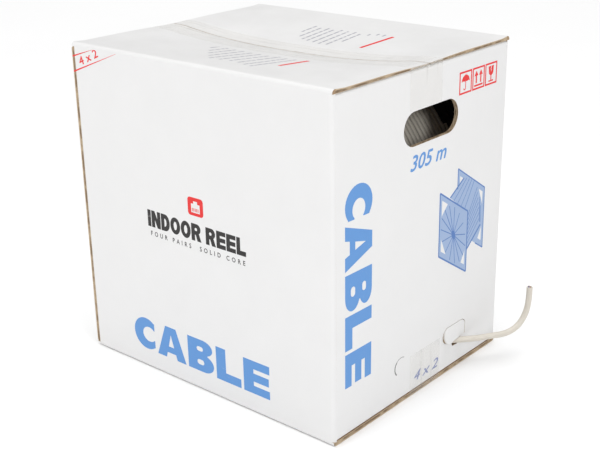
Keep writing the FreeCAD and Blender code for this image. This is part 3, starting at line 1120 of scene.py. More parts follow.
@dataclass(frozen=True)
class CartonForm:
    """The carton's size and the shape its faces have taken: bulged sides and a top that sags to its seam."""

    length: float = 323.0
    width: float = 271.0
    height: float = 325.0
    board: float = 4.0
    fold: float = 3.6
    end_fold: float = 3.0
    side_bulge: float = 1.0
    end_bulge: float = 0.8
    sag: float = 12.0
    seam: float = 0.5

    @property
    def half_x(self) -> float:
        """Half the length."""
        return self.length / 2

    @property
    def half_y(self) -> float:
        """Half the width."""
        return self.width / 2

    @staticmethod
    def _round(a: np.ndarray, b: np.ndarray, corner: Point2, towards: Point2, radius: float) -> tuple[
        np.ndarray, np.ndarray
    ]:
        """Draws points beyond a rounded corner in to its arc.

        Args:
            a: the first coordinates.
            b: the second coordinates.
            corner: the sharp corner.
            towards: the direction out through the corner, as signs.
            radius: the arc's radius.

        Returns:
            The new coordinates.
        """
        centre = (corner[0] - towards[0] * radius, corner[1] - towards[1] * radius)
        out_a, out_b = (a - centre[0]) * towards[0], (b - centre[1]) * towards[1]
        reach = np.hypot(out_a, out_b)
        beyond = (out_a > 0) & (out_b > 0) & (reach > radius)
        pull = np.where(beyond, radius / np.maximum(reach, 1e-9), 1.0)
        return (
            np.where(beyond, centre[0] + towards[0] * out_a * pull, a),
            np.where(beyond, centre[1] + towards[1] * out_b * pull, b),
        )

    def _swell(self, share: np.ndarray, z: np.ndarray, rise: float) -> np.ndarray:
        """Returns the outward bulge of an upright face."""
        tall = np.clip((z - self.board) / (self.height - 2 * self.board), 0, 1)
        return rise * np.sin(np.pi * np.clip(share, 0, 1)) * np.sin(np.pi * tall)

    def dip(self, x: np.ndarray, y: np.ndarray) -> np.ndarray:
        """Returns how far the top hangs below its folds."""
        along = 1 - np.clip(np.abs(x) / self.half_x, 0, 1) ** 2.5
        return self.sag * along * np.clip(1 - np.abs(y) / (self.half_y - self.board), 0, 1)

    def crush(self, x: np.ndarray, y: np.ndarray) -> np.ndarray:
        """Returns how much thinner the top is where its raw ends were pressed down under the tape.

        Args:
            x: the points' x.
            y: the points' y.

        Returns:
            The lost thickness.
        """
        near_end = np.clip((np.abs(x) - 138.0) / 22.0, 0, 1) ** 2
        held = 1.15 + 1.35 * np.exp(-((y + 4.0) / 36.0) ** 2)
        return near_end * held * np.clip(14 * (1 - np.abs(y) / (self.half_y - self.board)), 0, 1)

    def long_side(self, side: int) -> Place:
        """Returns the place function of the front (-1) or rear (1) panel, in (x, z).

        Args:
            side: -1 or 1, the side of the carton.

        Returns:
            The place function.
        """

        def place(x: np.ndarray, z: np.ndarray, depth: np.ndarray) -> np.ndarray:
            """Returns points of the panel.

            Args:
                x: the points' x.
                z: the points' z.
                depth: how far each point lies below the outer face.

            Returns:
                The points.
            """
            y = side * (self.half_y + self._swell(x / self.length + 0.5, z, self.side_bulge) - depth)
            for end in ((1,) if side < 0 else (-1, 1)):
                x, y = self._round(x, y, (end * self.half_x, side * self.half_y), (end, side), self.fold)
            return np.stack([x, y, z], axis=1)

        return place

    def end(self, side: int) -> Place:
        """Returns the place function of the left (-1) or right (1) end panel, in (y, z).

        Args:
            side: -1 or 1, the side of the carton.

        Returns:
            The place function.
        """

        def place(y: np.ndarray, z: np.ndarray, depth: np.ndarray) -> np.ndarray:
            """Returns points of the panel.

            Args:
                y: the points' y.
                z: the points' z.
                depth: how far each point lies below the outer face.

            Returns:
                The points.
            """
            x = side * (self.half_x + self._swell(y / self.width + 0.5, z, self.end_bulge) - depth)
            x, z = self._round(x, z, (side * self.half_x, self.height - self.board), (side, 1), self.end_fold)
            x, z = self._round(x, z, (side * self.half_x, self.board), (side, -1), self.end_fold)
            return np.stack([x, y, z], axis=1)

        return place

    def top(self, x: np.ndarray, y: np.ndarray, depth: np.ndarray) -> np.ndarray:
        """Returns points of the top, in (x, y)."""
        thin = self.crush(x, y) * np.clip(1 - depth / self.board, 0, 1)
        return np.stack([x, y, self.height - self.dip(x, y) - thin - depth], axis=1)

    def bottom(self, x: np.ndarray, y: np.ndarray, depth: np.ndarray) -> np.ndarray:
        """Returns points of the bottom, in (x, y).

        Args:
            x: the points' x.
            y: the points' y.
            depth: how far each point lies below the outer face.

        Returns:
            The points.
        """
        z = depth + 0 * x
        for side in (-1, 1):
            y, z = self._round(y, z, (side * self.half_y, 0.0), (side, -1), self.fold)
        return np.stack([x, y, z], axis=1)

    def lines(self, low: float, high: float, step: float = 9.0, fine: bool = True) -> list[float]:
        """Returns grid lines between two rims, closer together beside the folds.

        Args:
            low: the lower rim.
            high: the upper rim.
            step: the space between lines.
            fine: adds the lines beside the folds.

        Returns:
            The lines' places.
        """
        inner = list(np.arange(low + step / 2, high, step))
        close = [self.fold * math.tan(math.radians(a)) for a in (7, 15, 23, 31, 38)] + [self.fold]
        if not fine:
            return inner
        ends = [high - self.fold + c for c in close[:-1]] + [low + self.fold - c for c in close[:-1]]
        return inner + ends + [high - self.fold, low + self.fold]

    @property
    def layers(self) -> tuple[float, ...]:
        """The depths of a board's layers, close together where a fold is rounded."""
        near = [self.fold * (1 - math.tan(math.radians(a))) for a in (38, 30, 22, 14, 6)]
        return (0.0, *near, self.fold, self.board)


@dataclass
class CartonWalls:
    """The four upright panels and the glue tab."""

    form: CartonForm
    rack: FinishRack
    hand_hole: tuple[Point2, float, float] = ((5.5, 267.5), 86.0, 32.0)
    tab_hinge: float = 76.0
    tab_free: float = 36.0
    tab_mid: float = 40.75
    tab_height: float = 16.5
    tab_gap: float = 0.5
    notch: tuple[float, float, float] = (51.5, 67.5, 25.0)
    glue_rim: float = 131.5
    glue_width: float = 38.0
    glue_slant: float = 12.0
    glue_span: Point2 = (14.0, 311.0)
    glue_lines: Point2 = (-120.0, -107.0)

    def tab_opening(self) -> Loop:
        """Returns the opening round the exit tab, with the notch that was torn below it."""
        radius = self.tab_height / 2 + self.tab_gap
        middle = self.tab_free + self.tab_height / 2
        low, high, base = self.notch
        cap = arc((middle, self.tab_mid), (radius, radius), 90, 270, 18)
        clean = cap + [
            (low, self.tab_mid - radius), (low + 1.5, base + 1.0), (low + 4.0, base), (high - 3.0, base)
        ]
        clean += [(high, base + 2.5), (high, self.tab_mid - radius), (self.tab_hinge, self.tab_mid - radius)]
        clean += arc((self.tab_hinge - 9.0, self.tab_mid + 2.3), (9.0, radius - 2.3), 0, 90, 8)
        return ragged(
            clean, lambda p: p[1] < self.tab_mid - 3.0 and p[0] < self.tab_hinge - 0.5, 1.3, 0.25, 7
        )

    def build(self) -> None:
        """Builds and seats the panels."""
        form = self.form
        self._long_panel("front_panel", -1, -form.half_x + form.board)
        self._long_panel("rear_panel", 1, -form.half_x)
        self._end_panel("right_end_panel", 1, form.board - form.half_y, [self.tab_opening()])
        self._end_panel("left_end_panel", -1, -form.half_y, [])
        self._glue_tab()

    def _long_panel(self, name: str, side: int, left: float) -> None:
        """Builds the front or the rear panel.

        Args:
            name: the panel's name.
            side: -1 for the front, 1 for the rear.
            left: where its left rim lies.
        """
        form = self.form
        low, high = form.board, form.height - form.board
        corner = form.half_x - 0.4

        def folded(u: float, v: float) -> bool:
            """Says whether a rim edge is folded; the front panel's left rim is raw."""
            return u > corner if side < 0 else abs(u) > corner

        shape = rectangle((left, low), (form.half_x, high))
        cut = Cut([[shape]], form.lines(left, form.half_x), form.lines(low, high, fine=False))
        piece = cut.solid(name, form.long_side(side), form.layers, self.rack.board, folded, never)
        seat(piece, Body.CARTON, Slot.BOARD, name)

    def _end_panel(self, name: str, side: int, front: float, openings: list[Loop]) -> None:
        """Builds an end panel, with its hand hole.

        Args:
            name: the panel's name.
            side: -1 for the left end, 1 for the right end.
            front: where its front rim lies.
            openings: its openings besides the hand hole.
        """
        form = self.form
        low, high = form.board, form.height - form.board
        inner_y = form.half_y - form.board

        def folded(u: float, v: float) -> bool:
            """Says whether a rim edge is the fold to a short flap."""
            return v > high - 0.3 or v < low + 0.3

        def bare(u: float, v: float) -> bool:
            """Says whether a rim edge is one that hands and the cable rub."""
            return low + 1 < v < high - 1 and u < inner_y - 1 and (side < 0 or u > 1 - inner_y)

        figure = [rectangle((front, low), (inner_y, high)), obround(*self.hand_hole, steps=18), *openings]
        cut = Cut([figure], form.lines(front, inner_y, fine=False), form.lines(low, high))
        piece = cut.solid(name, form.end(side), form.layers, self.rack.board, folded, bare)
        seat(piece, Body.CARTON, Slot.BOARD, name)

    def _glue_tab(self) -> None:
        """Builds the strip that is glued inside the front left corner."""
        form, rim = self.form, -self.glue_rim
        (low, high), inner = self.glue_span, -self.glue_rim + self.glue_width
        shape = [(rim, low), (inner, low + self.glue_slant), (inner, high - self.glue_slant), (rim, high)]

        def inward(y: np.ndarray, z: np.ndarray, depth: np.ndarray) -> np.ndarray:
            """Returns points one board's thickness inside the left end panel."""
            return form.end(-1)(y, z, depth + form.board)

        cut = Cut([[shape]], self.glue_lines, form.lines(low, high, fine=False))
        piece = cut.solid("glue_tab", inward, (0.0, form.board), self.rack.board)
        seat(piece, Body.CARTON, Slot.BOARD, "glue_tab")


@dataclass
class FlapSet:
    """The eight flaps and the creases that the two upper long flaps hang on."""

    form: CartonForm
    rack: FinishRack
    minor_reach: float = 26.0
    minor_trim: float = 1.0
    clearance: float = 0.05
    crease_ends: Point2 = (1.35, 2.65)

    def build(self) -> None:
        """Builds and seats the flaps, and builds the creases."""
        for side, body, word in ((-1, Body.FRONT_FLAP, "front"), (1, Body.REAR_FLAP, "rear")):
            self._top_major(side, body, word)
            self._crease(side, word)
            self._bottom_major(side, word)
        for side, word in ((-1, "left"), (1, "right")):
            self._minor(side, word)

    def _top_major(self, side: int, body: Body, word: str) -> None:
        """Builds a long flap of the top.

        Args:
            side: -1 or 1, the side of the carton.
            body: the body that it rides on.
            word: the side's name.
        """
        form = self.form
        near, far = sorted((side * form.seam, side * (form.half_y - form.board)))
        shape = rectangle((-form.half_x, near), (form.half_x, far))
        torn = ragged(shape, lambda p: abs(p[1]) < form.seam + 0.1, 4.0, 0.18, 20 + side)
        cut = Cut(
            [[torn]], form.lines(-form.half_x, form.half_x, 8.0, False), form.lines(near, far, 8.0, False)
        )
        depths, folded = (0.0, 1.0, 3.0, form.board), self._beyond(form.half_y - form.board - 0.1)
        piece = cut.solid("top_flap_" + word, form.top, depths, self.rack.board, folded)
        seat(piece, body, Slot.BOARD, "top_flap_" + word)

    def _crease(self, side: int, word: str) -> None:
        """Builds the folded strip between a long panel and its top flap.

        Args:
            side: -1 or 1, the side of the carton.
            word: the side's name.
        """
        form = self.form
        base, far = form.height - form.board, form.half_y - form.board
        corner = arc((form.half_y - form.fold, form.height - form.fold), (form.fold, form.fold), 0, 90, 14)
        steps = (0.8, 1.6, 2.2, 2.6, 3.0, 3.4, 3.7)
        floor = [(far + form.board - s, base) for s in steps]
        wall = [(far, base + s) for s in reversed(steps)]
        section = [(form.half_y, base), *corner, (far, form.height), *wall, (far, base), *floor[::-1]]
        loop = [(side * y, z) for y, z in section]
        edge, depths = self.rack.cut, (-form.half_x, form.half_x)
        piece = Cut([[loop]]).solid(
            "crease_" + word, self._across, depths, [edge, edge, self.rack.white], worn=never
        )
        for face in (f for f in piece.data.polygons if abs(f.normal.x) < 0.5):
            y, z = abs(face.center.y) / MM, face.center.z / MM
            face.material_index = 2 if math.hypot(y - far, z - base) > form.board - 0.9 else 1
        piece.data.materials[1] = self.rack.kraft
        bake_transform(piece)
        note(piece, Slot.BOARD, "top_flap_" + word)

    def _bottom_major(self, side: int, word: str) -> None:
        """Builds a long flap of the bottom, with its fold.

        Args:
            side: -1 or 1, the side of the carton.
            word: the side's name.
        """
        form = self.form
        near, far = sorted((side * form.seam, side * form.half_y))
        shape = ragged(
            rectangle((-form.half_x, near), (form.half_x, far)), lambda p: abs(p[0]) > form.half_x - 0.1, 5.0,
            0.12, 30 + side,
        )
        cut = Cut(
            [[shape]], form.lines(-form.half_x, form.half_x, 20.0, False), form.lines(near, far, 20.0, True)
        )
        folded = self._beyond(form.half_y - 0.1)
        piece = cut.solid("bottom_flap_" + word, form.bottom, form.layers, self.rack.board, folded)
        seat(piece, Body.CARTON, Slot.BOARD, "bottom_flap_" + word)

    def _minor(self, side: int, word: str) -> None:
        """Builds a short flap of the top and one of the bottom.

        Args:
            side: -1 or 1, the side of the carton.
            word: the side's name.
        """
        form = self.form
        near, far = sorted((side * self.minor_reach, side * (form.half_x - form.board)))
        reach = form.half_y - form.board - self.minor_trim
        cut = Cut(
            [[rectangle((near, -reach), (far, reach))]], form.lines(near, far, 10.0, False),
            form.lines(-reach, reach, 10.0, False),
        )
        for level, place in (("top", self._under_top), ("bottom", self._over_bottom)):
            name, depths = f"{level}_flap_{word}", (0.0, form.board - self.clearance)
            piece = cut.solid(name, place, depths, self.rack.board, flute=1)
            seat(piece, Body.CARTON, Slot.BOARD, name)

    def _under_top(self, x: np.ndarray, y: np.ndarray, depth: np.ndarray) -> np.ndarray:
        """Returns points of a short top flap, just under the long ones."""
        return self.form.top(x, y, depth + self.form.board + self.clearance)

    def _over_bottom(self, x: np.ndarray, y: np.ndarray, depth: np.ndarray) -> np.ndarray:
        """Returns points of a short bottom flap, just over the long ones."""
        return np.stack([x, y, self.form.board + self.clearance + depth], axis=1)

    @staticmethod
    def _across(y: np.ndarray, z: np.ndarray, x: np.ndarray) -> np.ndarray:
        """Returns points of a section that runs along the carton."""
        return np.stack([x, y, z], axis=1)

    @staticmethod
    def _beyond(line: float) -> OnSheet:
        """Returns a test for rim edges further from the middle than a line."""

        def past(u: float, v: float) -> bool:
            """Says whether a rim edge lies past the line."""
            return abs(v) > line

        return past


@dataclass
class ExitTab:
    """The push-out tab that the cable leaves under: curled out, round at its free end, torn below."""

    form: CartonForm
    rack: FinishRack
    walls: CartonWalls
    lift: float = 4.0
    hinge_gap: float = 0.12

    def build(self) -> None:
        """Builds and seats the tab."""
        walls, form = self.walls, self.form
        radius = walls.tab_height / 2
        middle = walls.tab_free + radius
        cap = arc((middle, walls.tab_mid), (radius, radius), 90, 270, 18)
        hinge = walls.tab_hinge - self.hinge_gap
        clean = [
            *cap, (hinge, walls.tab_mid - radius),
            *arc((hinge - 9.0, walls.tab_mid + 1.25), (9.0, radius - 1.25), 0, 90, 8),
        ]
        loop = ragged(clean, lambda p: p[1] < walls.tab_mid - 4.0 and p[0] < hinge - 0.5, 1.2, 0.22, 11)
        run = walls.tab_hinge - walls.tab_free
        panel = form.end(1)

        def curled(y: np.ndarray, z: np.ndarray, depth: np.ndarray) -> np.ndarray:
            """Returns points of the tab; it stands off towards its free end and is creased at its hinge.

            Args:
                y: the points' y.
                z: the points' z.
                depth: how far each point lies below the outer face.

            Returns:
                The points.
            """
            share = np.clip((walls.tab_hinge - y) / run, 0, 1)
            droop = 0.60 + 0.50 * (walls.tab_mid - z) / radius
            points = panel(y, z, depth)
            points[:, 0] += self.lift * share ** 0.9 * droop
            points[:, 1] -= 0.13 * depth * np.clip(1 - (walls.tab_hinge - y) / 9.0, 0, 1)
            points[:, 0] -= 0.22 * np.clip(1 - (walls.tab_hinge - y) / 3.0, 0, 1)
            return points

        lines = list(np.arange(walls.tab_free + 1.5, walls.tab_hinge, 2.0)), list(np.arange(33.5, 49.0, 2.0))
        finishes = [self.rack.white, self.rack.kraft, self.rack.torn]
        piece = Cut([[loop]], *lines).solid("exit_tab", curled, (0.0, 0.7, 2.0, 3.3, form.board), finishes)
        seat(piece, Body.TAB, Slot.BOARD, "exit_tab")


@dataclass
class PackingTape:
    """Clear tape over the top and bottom seams, with tails down both end panels."""

    form: CartonForm
    rack: FinishRack
    top_edges: Point2 = (-29.0, 21.0)
    bottom_edges: Point2 = (-20.0, 30.0)
    top_tail: float = 284.0
    bottom_tail: float = 44.0
    film: float = 0.10
    glue: float = 0.05

    @staticmethod
    def _ripple(u: np.ndarray, v: np.ndarray) -> np.ndarray:
        """Returns how far the film stands off, from 0 to 1: long creases beside the seam.

        Args:
            u: the places along the strip.
            v: the places across it.

        Returns:
            The share of the full height.
        """
        line = np.exp(-(((v + 4.5 + 1.6 * np.sin(u / 31.0)) / 1.1) ** 2))
        second = 0.5 * np.exp(-(((v - 12.0 - 1.2 * np.sin(u / 23.0 + 1.0)) / 0.9) ** 2))
        patch = np.clip(0.55 + 0.6 * np.sin(u / 17.0) * np.sin(u / 41.0 + 0.7), 0, 1)
        return 0.6 * np.clip((line + second) * patch, 0, 1)

    def _over_ends(self, x: np.ndarray, y: np.ndarray) -> np.ndarray:
        """Returns how far the top strip stands off; over the raw ends it bridges the flutes."""
        past = np.abs(x) - self.form.half_x
        return np.maximum(self._ripple(x, y), 0.6 * ((past > 0.2) & (past < 1.7)))

    def _over_top(self, x: np.ndarray, y: np.ndarray, depth: np.ndarray) -> np.ndarray:
        """Returns points of the top strip; past the end panels it turns down over the raw edges.

        Args:
            x: the points' x.
            y: the points' y.
            depth: how far each point lies below the outer face.

        Returns:
            The points.
        """
        form, past = self.form, np.maximum(np.abs(x) - self.form.half_x, 0)
        held = np.clip(x, -form.half_x, form.half_x)
        stand = self.glue + self.film - depth + 0.25 * self._ripple(x, y)
        points = form.top(held, y, 0 * x)
        turned = np.clip(past / 0.6, 0, 1)
        points[:, 2] += stand * (1 - turned) - np.maximum(past - 0.3, 0)
        points[:, 0] += np.sign(x) * (stand * turned + 0.12 * np.clip(past, 0, 1))
        return points

    def _down_end(self, side: int) -> Place:
        """Returns the place function of a tail, in (y, z); it bridges the panel's rounded fold.

        Args:
            side: -1 or 1, the side of the carton.

        Returns:
            The place function.
        """
        form = self.form

        def place(y: np.ndarray, z: np.ndarray, depth: np.ndarray) -> np.ndarray:
            """Returns points of the tail.

            Args:
                y: the points' y.
                z: the points' z.
                depth: how far each point lies below the outer face.

            Returns:
                The points.
            """
            flat = form.end(side)(
                y, np.clip(z, form.board + form.end_fold, form.height - form.board - form.end_fold), 0 * y
            )
            near_fold = np.clip((z - (form.height - 12.0)) / 8.0, 0, 1)
            stand = self.glue + self.film - depth + 0.12 * near_fold + 0.25 * self._ripple(z, y)
            return np.stack([flat[:, 0] + side * stand, y, z], axis=1)

        return place

    def _under_floor(self, along: np.ndarray, y: np.ndarray, depth: np.ndarray) -> np.ndarray:
        """Returns points of the bottom strip, which runs down one end panel, underneath and up the other.

        Args:
            along: the places along the strip, from the middle.
            y: the points' y.
            depth: how far each point lies below the outer face.

        Returns:
            The points.
        """
        form, past = self.form, np.maximum(np.abs(along) - self.form.half_x, 0)
        x = np.clip(along, -form.half_x, form.half_x)
        stand = self.glue + self.film - depth
        up = np.clip(past / 0.5, 0, 1)
        side = np.sign(along)
        swell = np.abs(
            form.end(1)(y, np.maximum(past, form.board + form.end_fold), 0 * y)[:, 0]
        ) - form.half_x
        out = (0.08 + swell + stand + 0.2 * self._ripple(past, y)) * up
        return np.stack([x + side * out, y, past * up - stand * (1 - up)], axis=1)

    def build(self) -> None:
        """Builds and seats every length of tape."""
        form, finish = self.form, [self.rack.tape]
        reach = form.half_x + form.board
        seams = (
            (self.top_edges[0], -form.seam, "front", Body.FRONT_FLAP),
            (form.seam, self.top_edges[1], "rear", Body.REAR_FLAP),
        )
        lines = form.lines(-form.half_x, form.half_x, 6.0, False)
        ends = [side * (form.half_x + extra) for side in (-1, 1) for extra in (0.0, 0.3, 0.6, 1.2, 1.6, 1.9)]
        for low, high, word, body in seams:
            cut = Cut(
                [[rectangle((-reach, low), (reach, high))]], lines + ends,
                list(np.arange(low + 0.8, high, 1.4)),
            )
            piece = cut.solid(
                "tape_top_" + word, self._over_top, (0.0, self.film), finish, lift=self._over_ends
            )
            seat(piece, body, Slot.TAPE, "tape_top_" + word)
        for side, word in ((-1, "left"), (1, "right")):
            shape = rectangle(
                (self.top_edges[0], self.top_tail), (self.top_edges[1], form.height - form.board)
            )
            shape = ragged(shape, lambda p: p[1] < self.top_tail + 0.1, 1.1, 0.35, 40 + side)
            cut = Cut([[shape]], list(np.arange(-28.0, 21.0, 1.4)), list(np.arange(287.0, 321.0, 4.0)))
            piece = cut.solid(
                "tape_tail_" + word, self._down_end(side), (0.0, self.film), finish, lift=lambda u,
                v: self._ripple(v, u),
            )
            seat(piece, Body.CARTON, Slot.TAPE, "tape_top_tail_" + word)
        far = form.half_x + self.bottom_tail
        shape = rectangle((-far, self.bottom_edges[0]), (far, self.bottom_edges[1]))
        shape = ragged(shape, lambda p: abs(p[0]) > far - 0.1, 1.1, 0.35, 44)
        cut = Cut([[shape]], form.lines(-far, far, 8.0, False) + ends, list(np.arange(-19.0, 30.0, 1.6)))
        piece = cut.solid(
            "tape_bottom", self._under_floor, (0.0, self.film), finish, lift=lambda u,
            v: 0.6 * self._ripple(u, v - 3.0),
        )
        seat(piece, Body.CARTON, Slot.TAPE, "tape_bottom")


# --------------------------------------------------------------------------------------------------
# Print
# --------------------------------------------------------------------------------------------------


class BlockLetters:
    """Heavy block letters, one unit high, cut as plain outlines."""

    STEM = 0.37

    @classmethod
    def _letter(cls, letter: str) -> tuple[float, Figures]:
        """Returns a letter's width and its figures.

        Args:
            letter: the letter; any that isn't drawn here gives an R.

        Returns:
            The width and the figures.
        """
        s = cls.STEM
        if letter == "C":
            outer = arc((0.52, 0.5), (0.52, 0.5), 52, 308, 26)
            inner = arc((0.64, 0.5), (0.27, 0.235), 318, 42, 20)
            return 0.87, [[[(0.87, 0.66), (0.87, 0.89), *outer, (0.87, 0.11), (0.87, 0.34), *inner]]]
        if letter == "A":
            outer = [
                (0, 0), (0.37, 0), (0.42, 0.17), (0.77, 0.17), (0.82, 0), (1.19, 0), (0.81, 1), (0.38, 1)
            ]
            return 1.19, [[outer, [(0.485, 0.37), (0.705, 0.37), (0.595, 0.76)]]]
        if letter == "B":
            low, high = arc((0.62, 0.275), (0.40, 0.275), -90, 66, 12), arc(
                (0.60, 0.765), (0.38, 0.235), -62, 90, 12
            )
            holes = [obround((0.50, 0.29), 0.27, 0.16, 6), obround((0.485, 0.705), 0.25, 0.14, 6)]
            return 1.02, [[[(0, 0), *low, *high, (0, 1)], *holes]]
        if letter == "L":
            return 0.94, [[[(0, 0), (0.94, 0), (0.94, 0.27), (s, 0.27), (s, 1), (0, 1)]]]
        if letter == "E":
            arms = [
                (s, 0.245), (s, 0.375), (0.92, 0.375), (0.92, 0.62), (s, 0.62), (s, 0.75), (0.95, 0.75),
                (0.95, 1),
            ]
            return 0.95, [[[(0, 0), (0.95, 0), (0.95, 0.245), *arms, (0, 1)]]]
        if letter == "I":
            return s, [[rectangle((0, 0), (s, 1))]]
        if letter == "N":
            return 1.02, [
                [
                    [
                        (0, 0), (s, 0), (s, 0.46), (0.65, 0), (1.02, 0), (1.02, 1), (0.65, 1), (0.65, 0.54),
                        (s, 1), (0, 1),
                    ]
                ]
            ]
        if letter == "D":
            outer = [(0, 0), (0.45, 0), *arc((0.45, 0.5), (0.52, 0.5), -90, 90, 16), (0, 1)]
            return 0.97, [[outer, [(s, 0.26), *arc((0.42, 0.5), (0.19, 0.24), -90, 90, 8), (s, 0.74)]]]
        if letter == "O":
            return 1.08, [
                [arc((0.54, 0.5), (0.54, 0.5), 0, 350, 32), arc((0.54, 0.5), (0.18, 0.25), 0, 345, 20)]
            ]
        leg = [(0, 0), (s, 0), (s, 0.36), (0.46, 0.36), (0.63, 0), (1.04, 0), (0.83, 0.42)]
        outer = [*leg, *arc((0.60, 0.705), (0.40, 0.295), -60, 90, 12), (0, 1)]
        return 1.04, [[outer, obround((0.50, 0.68), 0.26, 0.18, 6)]]

    @classmethod
    def word(cls, text: str, gap: float = 0.10) -> tuple[float, Figures]:
        """Returns a word's length and its figures, one unit high.

        Args:
            text: the word.
            gap: the space between letters.

        Returns:
            The length and the figures.
        """
        at, figures = 0.0, []
        for letter in text:
            if letter == " ":
                at += 0.42
                continue
            width, made = cls._letter(letter)
            figures += [moved(loops, (at, 0.0)) for loops in made]
            at += width + gap
        return at - gap, figures


def plain_text(text: str, spacing: float = 1.0, slant: float = 0.0, weight: float = 0.0) -> tuple[
    float, Figures
]:
    """Returns small plain lettering's length and its figure, one unit high.

    Args:
        text: the words.
        spacing: the letter spacing, 1 for normal.
        slant: how far it leans.
        weight: how much thicker each side of a stroke is made, for letters one unit high.

    Returns:
        The length and one figure of every loop.
    """
    font = bpy.data.curves.new("lettering", "FONT")
    font.body, font.space_character, font.shear = text, spacing, slant
    holder = bpy.data.objects.new("lettering", font)
    bpy.context.scene.collection.objects.link(holder)
    bpy.context.view_layer.update()
    drawn = holder.to_curve(bpy.context.evaluated_depsgraph_get(), apply_modifiers=False)
    loops = []
    for spline in drawn.splines:
        knots, loop = list(spline.bezier_points), []
        for a, b in zip(knots, knots[1:] + knots[:1]):
            loop += [
                (p.x, p.y) for p in interpolate_bezier(a.co, a.handle_right, b.handle_left, b.co, 4)[:-1]
            ]
        if len(loop) > 2:
            loops.append(loop)
    holder.to_curve_clear()
    bpy.data.objects.remove(holder)
    bpy.data.curves.remove(font)
    every = np.array([p for loop in loops for p in loop])
    low, high = every.min(0), every.max(0)
    tall = high[1] - low[1]
    unit = moved(loops, (-low[0] / tall, -low[1] / tall), (1 / tall, 1 / tall))
    return (high[0] - low[0]) / tall, [heavier(unit, weight)]


